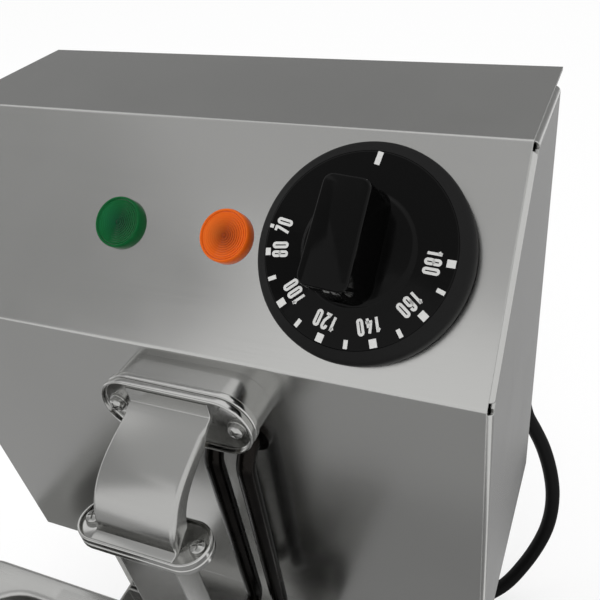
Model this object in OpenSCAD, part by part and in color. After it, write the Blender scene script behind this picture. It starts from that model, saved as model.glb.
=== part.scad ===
// Table-top electric donut fryer with a clip-on control head.
// Frame: +Z up, front towards -Y, origin at the bottom centre of the machine.

/* [Control head] */
// Width of the head across both side panels
head_w = 229; // [210:1:250]
// Height of the lower front face, below the bend
lower_face_h = 144; // [130:1:160]
// Length of the sloping control panel, bend to bend
panel_l = 80.6; // [78:0.2:90]
// Tilt of the control panel above the horizontal
panel_tilt = 45; // [40:1:50]
// Depth of the flat top
top_d = 62; // [55:1:80]
// Thickness of the stainless sheet
sheet = 1.2; // [0.8:0.1:1.5]
// Width of the flange that each side panel returns under the head sheet
side_flange = 5.5; // [4.5:0.5:7]
// Width of a side panel's fold beside the head sheet
side_fold = 1.5; // [1.3:0.1:2]
// Depth of the side panels, from the front face
side_depth = 106; // [100:1:110]
// Gap at the seams between sheets
seam_gap = 0.4; // [0.3:0.1:0.8]
// Height of the lips that the rear cover is screwed to
lip_h = 14; // [12:1:18]

// Outer radius of the head sheet's bends
bend_r = 2.4; // [1.6:0.1:4]

/* [Thermostat and knob] */
// Knob centre, right of the middle of the head
knob_x = 69; // [60:1:70]
// Row of the knob and lamps, up the panel from its lower bend
row_s = 40.3; // [38:0.1:43]
// Knob diameter
knob_dia = 70; // [60:1:72]
// Gap between knob and panel
knob_gap = 1.5; // [1:0.1:3]
// Height of the dial face above the panel
dial_h = 10.2; // [9:0.1:14]
// Diameter of the raised dial face
dial_dia = 60.4; // [50:0.2:66]
// Height of the top of the grip above the panel
grip_h = 29; // [22:1:34]
// Length of the grip across the dial
grip_l = 34; // [28:1:44]
// Width of the grip
grip_w = 13.6; // [10:0.2:16]
// Diameter of the thermostat's shaft
shaft_dia = 6; // [5:0.5:7]
// Radial running clearance of the shaft in its panel bush
shaft_play = 0.05; // [0.02:0.01:0.1]
// Side of the square thermostat housing
thermostat_side = 36; // [30:1:40]
// Depth of the thermostat housing
thermostat_depth = 30; // [24:1:34]

/* [Indicator lamps] */
// Orange lamp, right of the middle of the head
orange_x = 20.5; // [14:0.5:24]
// Distance between the two lamps
lamp_pitch = 42; // [36:1:50]
// Diameter of a lamp lens
lens_dia = 18; // [14:0.5:20]
// Height of a lens above the panel
lens_h = 6; // [4:0.5:8]
// Diameter of a lamp's barrel behind the panel
lamp_barrel_dia = 11; // [9:0.5:12]
// Length of a lamp's barrel
lamp_barrel_l = 24; // [18:1:28]

/* [Neck] */
// Middle of the neck, right of the middle of the head
neck_x = 12.8; // [0:0.2:20]
// Middle of the neck below the bend
neck_drop = 15; // [14.5:0.5:18]
// Width of the bent neck cover
cover_w = 31; // [29:0.5:32]
// Middle of the neck cover, right of the middle of the head
cover_x = 12.1; // [11.5:0.1:13]
// Straight part of the oval duct, end circle to end circle
duct_straight = 34; // [32:1:40]
// Radius of the duct's round ends
duct_r = 11.2; // [9:0.1:11.6]
// Length of the duct out of the front face
duct_l = 10; // [7:0.5:12]
// Thickness of one clamp plate
clamp_t = 2.6; // [2.4:0.2:4]
// Gap between two clamp plates
clamp_gap = 0.2; // [0.2:0.1:0.5]
// How far a clamp plate stands out round the duct
clamp_rim = 0.8; // [0.6:0.1:2]
// Depth of the dish pressed into a clamp plate
dish_depth = 1.8; // [1:0.1:1.8]
// Distance between the two screws of the upper clamp
clamp_screw_pitch = 46; // [42:0.2:50]
// Straight part of the lower clamp, end circle to end circle
lower_clamp_straight = 31.4; // [30:0.2:40]
// Radius of the lower clamp's round ends
lower_clamp_r = 8.5; // [8.5:0.1:12]
// Distance between the two screws of the lower clamp
lower_screw_pitch = 40; // [39:0.2:41]
// How far the neck reaches forward, to the middle of its lower clamp
neck_reach = 44; // [42:0.2:48]
// Drop from the bend to the floor of the lower clamp
neck_bottom = 39; // [37:1:46]

/* [Heater] */
// Diameter of the heater tube
heater_dia = 7; // [6:0.5:8]
// Distance between the two heater legs where they leave the head
leg_pitch = 13; // [12:1:16]
// Distance of the legs from the front face of the head
leg_y = 9.5; // [9.5:0.5:12]
// Height of the heater above the tank floor
heater_clear = 8; // [6:1:14]
// Wire diameter of the heater guard and the rack
wire_dia = 4; // [3:0.5:5]
// Distance between the wires of the guard
guard_pitch = 26; // [20:1:32]

/* [Tank and casing] */
// Height of the tank's rim above the table
rim_z = 150; // [140:1:160]
// Width across the rim
rim_w = 320; // [300:2:340]
// Depth across the rim
rim_d = 350; // [330:2:380]
// Width of the rim at each side of the tank
rim_ledge = 12; // [10:1:16]
// Depth of the tank inside
tank_depth = 112; // [100:1:120]
// Corner radius of the tank
tank_corner_r = 30; // [20:1:40]
// Thickness of the tank
tank_sheet = 1; // [0.8:0.1:1.5]
// Height of the turned-down lip round the rim
rim_lip_h = 8; // [6:1:12]
// Gap from the rim to the front face of the head
rim_gap = 12; // [10:1:16]
// Height of the feet
foot_h = 14; // [10:1:20]
// Diameter of a foot
foot_dia = 30; // [24:1:36]
// Distance of a foot's centre from the casing's sides
foot_inset = 32; // [28:1:44]
// Clear depth behind a carrying handle's bar
handle_reach = 24; // [22:1:30]
// Length of a carrying handle between its posts
handle_l = 96; // [84:2:110]
// Diameter of a carrying handle's bar
handle_dia = 14; // [12:1:16]

/* [Head bracket] */
// Width of the bracket that holds the head on the casing
bracket_w = 160; // [140:2:170]
// Length of the bracket below the head
bracket_l = 94; // [84:1:100]
// Thickness of the bracket
bracket_t = 1.5; // [1.2:0.1:2]
// Length of the guides on the casing
guide_l = 56; // [48:1:60]
// Clearance of the bracket in its guides
guide_play = 0.6; // [0.4:0.1:0.8]

/* [Frying rack] */
// Distance between the cross wires of the rack
rack_pitch = 16; // [12:1:20]
// Gap from the rack's frame to the tank wall
rack_gap = 12; // [10:1:16]
// Height of the rack's handles above the rim
rack_handle_h = 34; // [26:1:44]
// Width of a rack handle
rack_handle_w = 110; // [90:2:130]

/* [Safety cut-out] */
// Diameter of the reset button
button_dia = 7; // [6:0.5:8]
// Travel of the reset button
button_travel = 2; // [1.5:0.5:3]
// Radial running clearance of the button in its collar
button_play = 0.08; // [0.05:0.01:0.1]

/* [Fasteners] */
// Diameter of the small screws
screw_dia = 4; // [3:0.5:4]
// Diameter of their heads
screw_head_dia = 7.6; // [7:0.1:8.4]
// Height of their heads
screw_head_h = 2.2; // [1.8:0.1:2.6]
// Diameter of the clamp screws
clamp_screw_dia = 3; // [2.5:0.1:4]
// Diameter of the clamp screws' heads
clamp_screw_head = 5.6; // [5:0.1:7]

/* [Cord] */
// Diameter of the mains cord
cord_dia = 9.4; // [8:0.2:9.6]
// Radius of the middle of the coil
coil_r = 46; // [42:1:50]
// Turns side by side in the coil
coil_turns_wide = 2; // [2:1:2]
// Turns on each other in the coil
coil_turns_high = 2; // [2:1:2]
// Length of the tapered strain relief
relief_l = 26; // [22:1:34]
// Diameter of the plug
plug_dia = 36; // [32:1:38]
// Length of the plug's body
plug_l = 34; // [28:1:38]

/* [Hidden] */
$fn = 48;
eps = 0.01;

// Control head, in its own frame: middle of the bend, y back from the front face
panel_run = panel_l * cos(panel_tilt);
panel_rise = panel_l * sin(panel_tilt);
head_d = panel_run + top_d;
rim_drop = 34;                               // rim below the underside of the head
bend_z = rim_z + rim_drop + lower_face_h;    // height of the bend above the table
button_out = 6;                              // reach of the reset button behind the head
head_face_y = (rim_gap + rim_d - head_d - button_out) / 2;
head_profile = [
    [0, -lower_face_h], [0, 0], [panel_run, panel_rise],
    [head_d, panel_rise], [head_d, -lower_face_h]
];
inner_profile = inset_profile(head_profile, sheet);
seam_x = head_w / 2 - side_flange - seam_gap;
wrap_x = head_w / 2 - side_fold;             // side edge of the head sheet
lip_x = seam_x - sheet - seam_gap;           // side edge of the lips
relief_r = 1.8;                              // bend reliefs in the side panels
side_corner_r = 7;                           // upper rear corner of the side panels
lip_y = head_d - 2 * sheet - 0.1;            // front of the lips behind the rear cover

// Neck
duct_top_y = -duct_l;                        // where the duct meets its first clamp plate
dish_y = duct_top_y - 2 * clamp_t - clamp_gap + dish_depth;
clamp_r = duct_r + clamp_rim;
cover_t = 1.5;
cover_flange = 6;
cover_foot = 3.4;
cover_top_z = -11.2;
cover_wall = 7;
cover_wall_top = 5.6;
cover_y0 = dish_y - cover_t;
cover_end = [-neck_reach - 3.8, -neck_bottom + 2];
cover_curve = [
    [cover_y0, cover_top_z], [-neck_reach + 10, cover_top_z - 4.8],
    [-neck_reach - 1.5, cover_top_z - 9.8], cover_end
];
clamp_lip = 0.9;                             // rim left round the dish of a clamp plate
curve_steps = 12;

// Tank and casing
rim_front_y = head_face_y - rim_gap - rim_d;
rim_mid_y = rim_front_y + rim_d / 2;
casing_w = rim_w - 4;
casing_d = rim_d - 4;
casing_top = rim_z - tank_sheet - 0.3;
casing_corner_r = 8;
casing_sheet = 1;
tank_w = rim_w - 2 * rim_ledge;
tank_d = rim_d - 2 * rim_ledge;
tank_floor_z = rim_z - tank_depth;
tank_rear_y = rim_mid_y + tank_d / 2 - tank_sheet;
guide_x = bracket_w / 2 - 4;                 // side edge of the bracket in its guides
guide_top = rim_z - rim_lip_h - 2;
guide_sheet = 1.2;
casing_rear_y = rim_mid_y + casing_d / 2;

// Heater, guard and rack
heater_z = tank_floor_z + heater_clear + heater_dia / 2;
leg_bend_r = 9.5;
leg_inner_y = tank_rear_y - 9;
leg_mid_x = neck_x + 11.9;
loop_half_w = tank_w / 2 - 30;
loop_inner = 24;                             // inner ends of the loops, from the middle
loop_rows = 6;
row_pitch = 44;
guard_z = heater_z + heater_dia / 2 + 1 + wire_dia / 2;
guard_half_w = tank_w / 2 - 14;
guard_rear_y = leg_inner_y - 18;
guard_front_y = rim_mid_y - tank_d / 2 + 16;
rack_z = guard_z + wire_dia + 0.3;
rack_half_w = tank_w / 2 - rack_gap;
rack_front_y = rim_mid_y - tank_d / 2 + rack_gap + 2;
rack_rear_y = leg_inner_y - 26;
rack_mid_y = (rack_front_y + rack_rear_y) / 2;

// Safety cut-out behind the rear cover
cutout_x = -70;
cutout_z = -74;
gland_x = head_w / 2 - 17;
gland_z = -lower_face_h + 26;

// Mains cord: from the strain relief down to the table and along it to the coil
head_rear_y = head_face_y + head_d;
cord_start = [gland_x, head_rear_y + relief_l, bend_z + gland_z];
coil_centre = [head_w / 2 - 93.5, head_face_y + 60];
cord_points = [
    cord_start + [0, 0, 0], cord_start + [0, 12, -1], cord_start + [0.5, 22, -5],
    cord_start + [1, 29.5, -13], cord_start + [1.5, 33, -24], cord_start + [2, 34.5, -36],
    cord_start + [2.8, 35, -48], cord_start + [4.5, 35, -59], cord_start + [7.4, 34.5, -69],
    cord_start + [12, 34, -77.5], cord_start + [19.5, 32, -92.3],
    cord_start + [26, 29, -111.5], cord_start + [29.7, 25, -130.7],
    cord_start + [29.7, 20, -151.1], cord_start + [25.9, 13, -167.8],
    cord_start + [18, 3, -184], cord_start + [7, -9, -197],
    cord_start + [-8, -21, -204], [coil_centre[0] + 52, head_face_y + 106, cord_dia / 2],
    [coil_centre[0] + 50, head_face_y + 88, cord_dia / 2],
    [coil_centre[0] + 48, head_face_y + 73.8, cord_dia / 2]
];
coil_end = [coil_centre[0], coil_centre[1] - coil_r - cord_dia / 2, 1.5 * cord_dia];
tail_points = [
    coil_end, coil_end + [-18, 1.5, -1], coil_end + [-36, 6, -5], coil_end + [-52, 11, -5.5],
    coil_end + [-68, 14.5, -1], coil_end + [-82, 15.5, plug_dia / 2 - 1.5 * cord_dia]
];
cord_sides = 8;

// ---------------------------------------------------------------- geometry helpers

function inward(p, q) = let (e = q - p, l = norm(e)) [e[1] / l, -e[0] / l];
function inset_corner(a, b, c, t) =
    let (m = inward(a, b), n = inward(b, c)) b + t * (m + n) / (1 + m * n);
function inset_profile(p, t) = let (n = len(p))
    [for (i = [0:n - 1]) inset_corner(p[(i + n - 1) % n], p[i], p[(i + 1) % n], t)];
function bezier(p, t) =
    pow(1 - t, 3) * p[0] + 3 * t * pow(1 - t, 2) * p[1]
    + 3 * t * t * (1 - t) * p[2] + pow(t, 3) * p[3];
function unit(v) = v / norm(v);
function last(v) = len(v) - 1;
function tangent(p, i) = unit(p[min(i + 1, last(p))] - p[max(i - 1, 0)]);
function across_to(u, t) = unit(u - (u * t) * t);
function first_side(t) = across_to(abs(t[2]) < 0.9 ? [0, 0, 1] : [1, 0, 0], t);
function side_vectors(p) =
    [for (i = 0, u = first_side(tangent(p, 0)); i < len(p);
          i = i + 1, u = across_to(u, tangent(p, min(i, last(p))))) u];
// Corner of a path rounded by an arc of radius r
function round_corner(a, b, c, r, steps) =
    let (u = unit(a - b), v = unit(c - b), half = acos(u * v) / 2, w = unit(u + v),
         o = b + w * r / sin(half), q = unit(b + u * r / tan(half) - o), sweep = 180 - 2 * half)
    [for (k = [0:steps]) let (f = sweep * k / steps) o + r * (cos(f) * q - sin(f) * u)];
function round_path(p, r, steps = 4) = concat([p[0]],
    [for (i = [1:last(p) - 1]) each round_corner(p[i - 1], p[i], p[i + 1], r, steps)],
    [p[last(p)]]);

// Round tube along a list of points
module tube_along(p, r, sides = 10) {
    side = side_vectors(p);
    ring = [for (i = [0:last(p)], k = [0:sides - 1])
        let (t = tangent(p, i), u = across_to(side[i], t), v = cross(t, u), a = 360 * k / sides)
        p[i] + r * (cos(a) * u + sin(a) * v)];
    wall = [for (i = [0:last(p) - 1], k = [0:sides - 1])
        let (a = i * sides + k, b = i * sides + (k + 1) % sides)
        each [[a, a + sides, b], [b, a + sides, b + sides]]];
    end = last(p) * sides;
    caps = [
        [for (k = [0:sides - 1]) k],
        [for (k = [sides - 1:-1:0]) end + k]
    ];
    polyhedron(points = ring, faces = concat(wall, caps), convexity = 6);
}

// Outline drawn in (y, z) and extruded along x
module across(x0, x1) {
    translate([x0, 0, 0]) rotate([90, 0, 90]) linear_extrude(x1 - x0) children();
}
module in_head() { translate([0, head_face_y, bend_z]) children(); }
module on_panel(x, s, h = 0) {
    translate([x, s * cos(panel_tilt), s * sin(panel_tilt)])
        rotate([panel_tilt, 0, 0]) translate([0, 0, h]) children();
}
module rounded_rect(w, d, r) {
    square([w - 2 * r, d], center = true);
    square([w, d - 2 * r], center = true);
    for (x = [-1, 1], y = [-1, 1])
        translate([x * (w / 2 - r), y * (d / 2 - r)]) circle(r);
}
module oval(straight, r) {
    square([straight, 2 * r], center = true);
    for (x = [-1, 1]) translate([x * straight / 2, 0]) circle(r);
}
// Solid with z as its axis laid so that it points to the front
module facing_front() { rotate([90, 0, 0]) children(); }
module screw(length, d = screw_dia, head = screw_head_dia, h = screw_head_h) {
    cylinder(h = h * 0.45, d = head);
    translate([0, 0, h * 0.45]) cylinder(h = h * 0.55, d1 = head, d2 = head * 0.55);
    translate([0, 0, -length]) cylinder(h = length + eps, d = d);
}
module wire(a, b, d = wire_dia) {
    v = b - a;
    l = norm(v);
    translate(a) rotate([0, acos(v[2] / l), atan2(v[1], v[0])]) cylinder(h = l, d = d, $fn = 24);
}
module knuckle(p, d = wire_dia) { translate(p) sphere(d = d, $fn = 24); }

// ---------------------------------------------------------------- casing and tank

module casing() {
    color("gainsboro") translate([0, rim_mid_y, 0]) difference() {
        translate([0, 0, foot_h])
            linear_extrude(casing_top - foot_h) rounded_rect(casing_w, casing_d, casing_corner_r);
        translate([0, 0, foot_h - 1]) linear_extrude(casing_top)
            rounded_rect(casing_w - 2 * casing_sheet, casing_d - 2 * casing_sheet,
                         casing_corner_r - casing_sheet);
        for (s = [-1, 1], y = [-1, 1])
            translate([s * casing_w / 2, y * handle_l / 2, handle_z])
                rotate([0, 90, 0]) cylinder(h = 6, d = screw_dia + 0.4, center = true);
        for (s = [-1, 1], z = rivet_heights) translate([s * rivet_x, casing_d / 2, z])
            rotate([90, 0, 0]) cylinder(h = 6, d = screw_dia + 0.4, center = true);
    }
}

module base_plate() {
    color("lightgray") translate([0, rim_mid_y, foot_h]) difference() {
        linear_extrude(casing_sheet)
            rounded_rect(casing_w - 2 * casing_sheet - 0.4, casing_d - 2 * casing_sheet - 0.4,
                         casing_corner_r - casing_sheet - 0.2);
        for (x = [-1, 1], y = [-1, 1])
            translate([x * foot_x, y * foot_y, -1]) cylinder(h = 4, d = foot_stud_dia + 0.4);
    }
}

foot_x = casing_w / 2 - foot_inset;
foot_y = casing_d / 2 - foot_inset;
foot_stud_dia = 6;
module rubber_feet() {
    color("dimgray") for (x = [-1, 1], y = [-1, 1])
        translate([x * foot_x, rim_mid_y + y * foot_y, 0]) {
            cylinder(h = foot_h * 0.3, d1 = foot_dia - 3, d2 = foot_dia);
            translate([0, 0, foot_h * 0.3]) cylinder(h = foot_h * 0.7, d = foot_dia);
            cylinder(h = foot_h + 8, d = foot_stud_dia);
            translate([0, 0, foot_h + casing_sheet]) cylinder(h = 4, d = 10, $fn = 6);
        }
}

module oil_tank() {
    color("silver") translate([0, rim_mid_y, 0]) {
        difference() {
            translate([0, 0, tank_floor_z - tank_sheet])
                linear_extrude(tank_depth + tank_sheet)
                rounded_rect(tank_w, tank_d, tank_corner_r);
            translate([0, 0, tank_floor_z]) linear_extrude(tank_depth + 1)
                rounded_rect(tank_w - 2 * tank_sheet, tank_d - 2 * tank_sheet,
                             tank_corner_r - tank_sheet);
        }
        translate([0, 0, rim_z - tank_sheet]) linear_extrude(tank_sheet) difference() {
            rounded_rect(rim_w, rim_d, casing_corner_r + 2);
            rounded_rect(tank_w - tank_sheet, tank_d - tank_sheet, tank_corner_r);
        }
        translate([0, 0, rim_z - rim_lip_h]) linear_extrude(rim_lip_h) difference() {
            rounded_rect(rim_w, rim_d, casing_corner_r + 2);
            rounded_rect(rim_w - 2 * tank_sheet, rim_d - 2 * tank_sheet,
                         casing_corner_r + 2 - tank_sheet);
        }
    }
}

handle_z = foot_h + (casing_top - foot_h) * 0.6;
post_dia = handle_dia - 2;
module carry_handle(side) {
    out = handle_reach + handle_dia / 2;
    color("#222222") translate([side * casing_w / 2, rim_mid_y, handle_z]) difference() {
        union() {
            for (y = [-1, 1]) translate([0, y * handle_l / 2, 0]) rotate([0, side * 90, 0]) {
                cylinder(h = out, d = post_dia);
                cylinder(h = 3, d = handle_dia + 6);
            }
            translate([side * out, 0, 0]) rotate([90, 0, 0])
                cylinder(h = handle_l + 2 * handle_dia, d = handle_dia, center = true);
            for (y = [-1, 1]) translate([side * out, y * (handle_l / 2 + handle_dia), 0])
                rotate([-y * 90, 0, 0]) cylinder(h = 3, d1 = handle_dia, d2 = handle_dia - 5);
        }
        for (y = [-1, 1]) translate([0, y * handle_l / 2, 0]) rotate([0, side * 90, 0])
            translate([0, 0, -1]) cylinder(h = 15, d = screw_dia + 0.2);
    }
}

module handle_screws() {
    color("silver") for (s = [-1, 1], y = [-1, 1])
        translate([s * (casing_w / 2 - casing_sheet), rim_mid_y + y * handle_l / 2, handle_z])
            rotate([0, -s * 90, 0]) screw(12);
}

// Folded channel that holds one edge of the head bracket
module guide(side) {
    depth = head_face_y + 5 - casing_rear_y;
    slot_y = head_face_y - guide_play;
    slot_d = bracket_t + 2 * guide_play;
    inner = guide_x - 6;
    web = guide_x + guide_play + 0.2;
    color("silver") difference() {
        translate([0, 0, guide_top - guide_l]) linear_extrude(guide_l) scale([side, 1]) {
            translate([inner, casing_rear_y]) square([web + 12 - inner, guide_sheet]);
            translate([web, casing_rear_y]) square([guide_sheet, depth]);
            translate([inner, slot_y - guide_sheet])
                square([web - inner + eps, guide_sheet]);
            translate([inner, slot_y + slot_d]) square([web - inner + eps, guide_sheet]);
        }
        for (z = rivet_heights) translate([side * rivet_x, casing_rear_y - 1, z])
            rotate([-90, 0, 0]) cylinder(h = 6, d = screw_dia + 0.2);
    }
    color("silver") translate([side > 0 ? inner : -web, slot_y - guide_sheet, guide_stop_z - 2])
        cube([web - inner, slot_d + 2 * guide_sheet, 2]);
}
guide_stop_z = bend_z - lower_face_h - bracket_l - 0.3;
rivet_x = guide_x + 8;
rivet_heights = [guide_top - 8, guide_top - guide_l + 8];
module guide_rivets() {
    color("silver") for (s = [-1, 1], z = rivet_heights)
        translate([s * rivet_x, casing_rear_y + guide_sheet, z])
            rotate([-90, 0, 0]) screw(guide_sheet + 3);
}

// ---------------------------------------------------------------- head shell

function bend(a, b, c, r) = round_corner(a, b, c, r, 5);
inner_back = [head_d, panel_rise - sheet];
module head_wrap() {
    color("lightgray") in_head() difference() {
        union() {
            across(-wrap_x, wrap_x) polygon(concat(
                [head_profile[0]],
                bend(head_profile[0], head_profile[1], head_profile[2], bend_r),
                bend(head_profile[1], head_profile[2], head_profile[3], bend_r),
                [head_profile[3], inner_back],
                bend(inner_back, inner_profile[2], inner_profile[1], bend_r - sheet),
                bend(inner_profile[2], inner_profile[1], inner_profile[0], bend_r - sheet),
                [[sheet, -lower_face_h]]
            ));
            translate([-lip_x, lip_y, panel_rise - sheet - lip_h])
                cube([2 * lip_x, sheet, lip_h + eps]);
        }
        for (x = [orange_x, orange_x - lamp_pitch])
            on_panel(x, row_s, -10) cylinder(h = 20, d = lamp_barrel_dia + 0.4);
        on_panel(knob_x, row_s, -10) cylinder(h = 20, d = bush_dia + 0.4);
        for (x = [-1, 1]) on_panel(knob_x + x * thermostat_screw_x, row_s, -10)
            cylinder(h = 20, d = screw_dia + 0.4);
        translate([neck_x, 0, -neck_drop]) facing_front()
            linear_extrude(10, center = true) oval(duct_straight, duct_r - sheet - 0.4);
        for (i = [-1, 1]) translate([leg_mid_x + i * leg_pitch / 2, 0, leg_z])
            facing_front() cylinder(h = 10, d = gland_hole_dia, center = true);
        for (x = lip_screw_x) translate([x, head_d, lip_screw_top]) facing_front()
            cylinder(h = 8, d = screw_dia + 0.2, center = true);
    }
}

// Side panel: its flange lies under the head sheet, with bend reliefs at the two bends
side_inset = inset_profile(head_profile, sheet + 0.1);
function side_outline(t) = let (
    p = inset_profile(head_profile, sheet + 0.1 + t), low = -lower_face_h + t, rear = side_depth - t
) concat(
    [[p[0][0], low], p[1], p[2]],
    round_corner(p[2], [rear, p[2][1]], [rear, low], side_corner_r - t, 5), [[rear, low]]
);
module side_panel(side) {
    x0 = side > 0 ? head_w / 2 - sheet : -head_w / 2;
    f0 = side > 0 ? head_w / 2 - side_flange : -head_w / 2 + sheet;
    color("silver") in_head() difference() {
        union() {
            across(x0, x0 + sheet) polygon(side_outline(0));
            across(f0 - eps, f0 + side_flange - sheet + eps) difference() {
                polygon(side_outline(0));
                polygon(side_outline(sheet));
            }
        }
        for (p = [side_inset[1], side_inset[2]]) across(x0 - side_flange, x0 + side_flange + sheet)
            translate(p) circle(relief_r, $fn = 24);
    }
}

vent_w = 34;
vent_rows = 6;
module rear_cover() {
    low = -lower_face_h + sheet + seam_gap;
    h = lower_face_h + panel_rise - 2 * sheet - 2 * seam_gap;
    color("silver") in_head() difference() {
        union() {
            translate([-seam_x, head_d - sheet, low]) cube([2 * seam_x, sheet, h]);
            for (x = [-seam_x, seam_x - sheet]) translate([x, side_depth - 6, low])
                cube([sheet, head_d - side_depth + 6 - eps, h]);
        }
        for (c = [-1, 0, 1], r = [0:vent_rows - 1])
            translate([c * (vent_w + 12), head_d, 20 - r * 9])
                facing_front() linear_extrude(8, center = true) oval(vent_w - 4, 2);
        translate([cutout_x, head_d, cutout_z]) facing_front()
            cylinder(h = 8, d = collar_dia + 0.4, center = true);
        translate([gland_x, head_d, gland_z]) facing_front()
            cylinder(h = 8, d = gland_thread_dia + 0.4, center = true);
        for (x = lip_screw_x, z = [lip_screw_top, lip_screw_low])
            translate([x, head_d, z]) facing_front()
                cylinder(h = 8, d = screw_dia + 0.4, center = true);
    }
}

lip_screw_x = [-90, 0, 90];
lip_screw_top = panel_rise - sheet - lip_h / 2;
lip_screw_low = -lower_face_h + sheet + lip_h / 2;
bracket_screw_x = [-60, -20, 20, 60];
bracket_shelf = 26;
module bottom_plate() {
    color("silver") in_head() difference() {
        union() {
            translate([-seam_x, sheet + 0.1, -lower_face_h])
                cube([2 * seam_x, lip_y - 0.1, sheet]);
            translate([-lip_x, lip_y, -lower_face_h]) cube([2 * lip_x, sheet, lip_h]);
        }
        for (x = bracket_screw_x) translate([x, bracket_shelf - 9, -lower_face_h - 1])
            cylinder(h = 4, d = screw_dia + 0.2);
        for (x = lip_screw_x) translate([x, head_d, lip_screw_low]) facing_front()
            cylinder(h = 12, d = screw_dia + 0.2, center = true);
        translate([gland_x, lip_y, gland_z]) facing_front()
            cylinder(h = 8, d = gland_thread_dia + 3, center = true);
    }
}

// Angle under the head; its tongue slides into the guides on the casing
module head_bracket() {
    half = bracket_w / 2;
    top = -lower_face_h;
    low = top - bracket_l;
    color("silver") in_head() difference() {
        union() {
            translate([0, bracket_t, 0]) facing_front() linear_extrude(bracket_t) polygon([
                [-half, top], [-half, top - 1], [-guide_x, top - 8], [-guide_x, low + 8],
                [-guide_x + 8, low], [guide_x - 8, low], [guide_x, low + 8],
                [guide_x, top - 8], [half, top - 1], [half, top]
            ]);
            translate([-half, 0, top - bracket_t])
                cube([bracket_w, bracket_shelf, bracket_t - 0.02]);
        }
        for (x = bracket_screw_x) translate([x, bracket_shelf - 9, top - 4])
            cylinder(h = 6, d = screw_dia + 0.2);
    }
}

module bracket_screws() {
    color("gray") in_head() for (x = bracket_screw_x)
        translate([x, bracket_shelf - 9, -lower_face_h - bracket_t]) rotate([180, 0, 0])
            screw(bracket_t + sheet + 5);
}

module cover_screws() {
    color("gray") in_head() for (x = lip_screw_x, z = [lip_screw_top, lip_screw_low])
        translate([x, head_d, z]) rotate([-90, 0, 0]) screw(8);
}

// ---------------------------------------------------------------- lamps

module lamp_lens(x, tint) {
    color(tint) in_head() on_panel(x, row_s) difference() {
        union() {
            cylinder(h = lens_h - 1.4, d = lens_dia);
            translate([0, 0, lens_h - 1.4]) cylinder(h = 1.4, d1 = lens_dia, d2 = lens_dia - 2.4);
        }
        translate([0, 0, lens_h - 0.6]) cylinder(h = 1, d = lens_dia - 4.4);
        translate([0, 0, -eps]) cylinder(h = lens_h - 2.6, d = lens_dia - 4);
    }
}
module lamp_body(x) {
    color("ivory") in_head() on_panel(x, row_s) {
        translate([0, 0, -lamp_barrel_l]) cylinder(h = lamp_barrel_l - 0.01, d = lamp_barrel_dia);
        translate([0, 0, -sheet - 4]) cylinder(h = 4, d = lamp_barrel_dia + 6, $fn = 6);
        for (i = [-1, 1]) translate([i * 2.6 - 0.4, -1.6, -lamp_barrel_l - 8])
            cube([0.8, 3.2, 8 + eps]);
    }
}

// ---------------------------------------------------------------- thermostat and knob

bush_dia = 10;
thermostat_screw_x = 14;
bracket_stand = 6;
module thermostat_body() {
    color("tan") in_head() on_panel(knob_x, row_s, -sheet) difference() {
        union() {
            translate([-thermostat_side / 2, -thermostat_side / 2,
                       -bracket_stand - thermostat_depth])
                cube([thermostat_side, thermostat_side, thermostat_depth]);
            translate([-thermostat_side / 2, -7, -bracket_stand - eps])
                cube([thermostat_side, 14, bracket_stand]);
            for (i = [-1, 1], j = [-1, 1])
                translate([i * 8 - 0.4, j * 9 - 3, -bracket_stand - thermostat_depth - 8])
                    cube([0.8, 6, 8 + eps]);
        }
        translate([0, 0, -20]) cylinder(h = 30, d = bush_dia + 0.2);
        for (i = [-1, 1]) translate([i * thermostat_screw_x, 0, -12])
            cylinder(h = 20, d = screw_dia + 0.2);
    }
}
module thermostat_bush() {
    color("goldenrod") in_head() on_panel(knob_x, row_s) difference() {
        union() {
            translate([0, 0, -18]) cylinder(h = 18.8, d = bush_dia);
            translate([0, 0, 0.01]) cylinder(h = 0.8, d = bush_dia + 4);
        }
        translate([0, 0, -20]) cylinder(h = 30, d = shaft_dia + 2 * shaft_play);
    }
}
module thermostat_screws() {
    color("gray") in_head() for (i = [-1, 1])
        on_panel(knob_x + i * thermostat_screw_x, row_s)
            screw(9, d = 3.6, head = 6.6, h = 1.2);
}
module knob_shaft() {
    color("goldenrod") in_head() on_panel(knob_x, row_s, -17)
        cylinder(h = 17 + dial_h - 1, d = shaft_dia);
}
hub_h = 1.3;
hub_dia = 35;
module knob_dial() {
    rim_h = dial_h - knob_gap;
    color("#181818") in_head() on_panel(knob_x, row_s, knob_gap) difference() {
        union() {
            cylinder(h = rim_h * 0.48, d = knob_dia, $fn = 96);
            translate([0, 0, rim_h * 0.48 - eps])
                cylinder(h = rim_h * 0.38, d1 = knob_dia - 0.6, d2 = dial_dia + 1, $fn = 96);
            cylinder(h = rim_h, d = dial_dia, $fn = 96);
            translate([0, 0, rim_h - eps]) cylinder(h = hub_h, d1 = hub_dia, d2 = hub_dia - 2);
        }
        translate([0, 0, -eps]) difference() {
            cylinder(h = rim_h - 2.4, d = knob_dia - 6, $fn = 96);
            cylinder(h = rim_h, d = 14);
        }
        translate([0, 0, -1]) cylinder(h = rim_h + 4, d = shaft_dia + 0.04);
    }
}
// Tapered bar that the fingers turn, on a round hub
grip_turn = -3;
module knob_grip() {
    h = grip_h - dial_h - hub_h;
    color("#101010") in_head() on_panel(knob_x, row_s, dial_h + hub_h)
    rotate([0, 0, grip_turn]) {
        hull() for (y = [-1, 1]) translate([0, y * (grip_l / 2 - grip_w / 2), 0]) {
            translate([0, -y * 1, 0]) cylinder(h = 1, d = grip_w + 5, $fn = 32);
            translate([0, 0, h - 2]) cylinder(h = 2, d = grip_w - 1, $fn = 32);
        }
    }
}

// ---------------------------------------------------------------- safety cut-out

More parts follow.
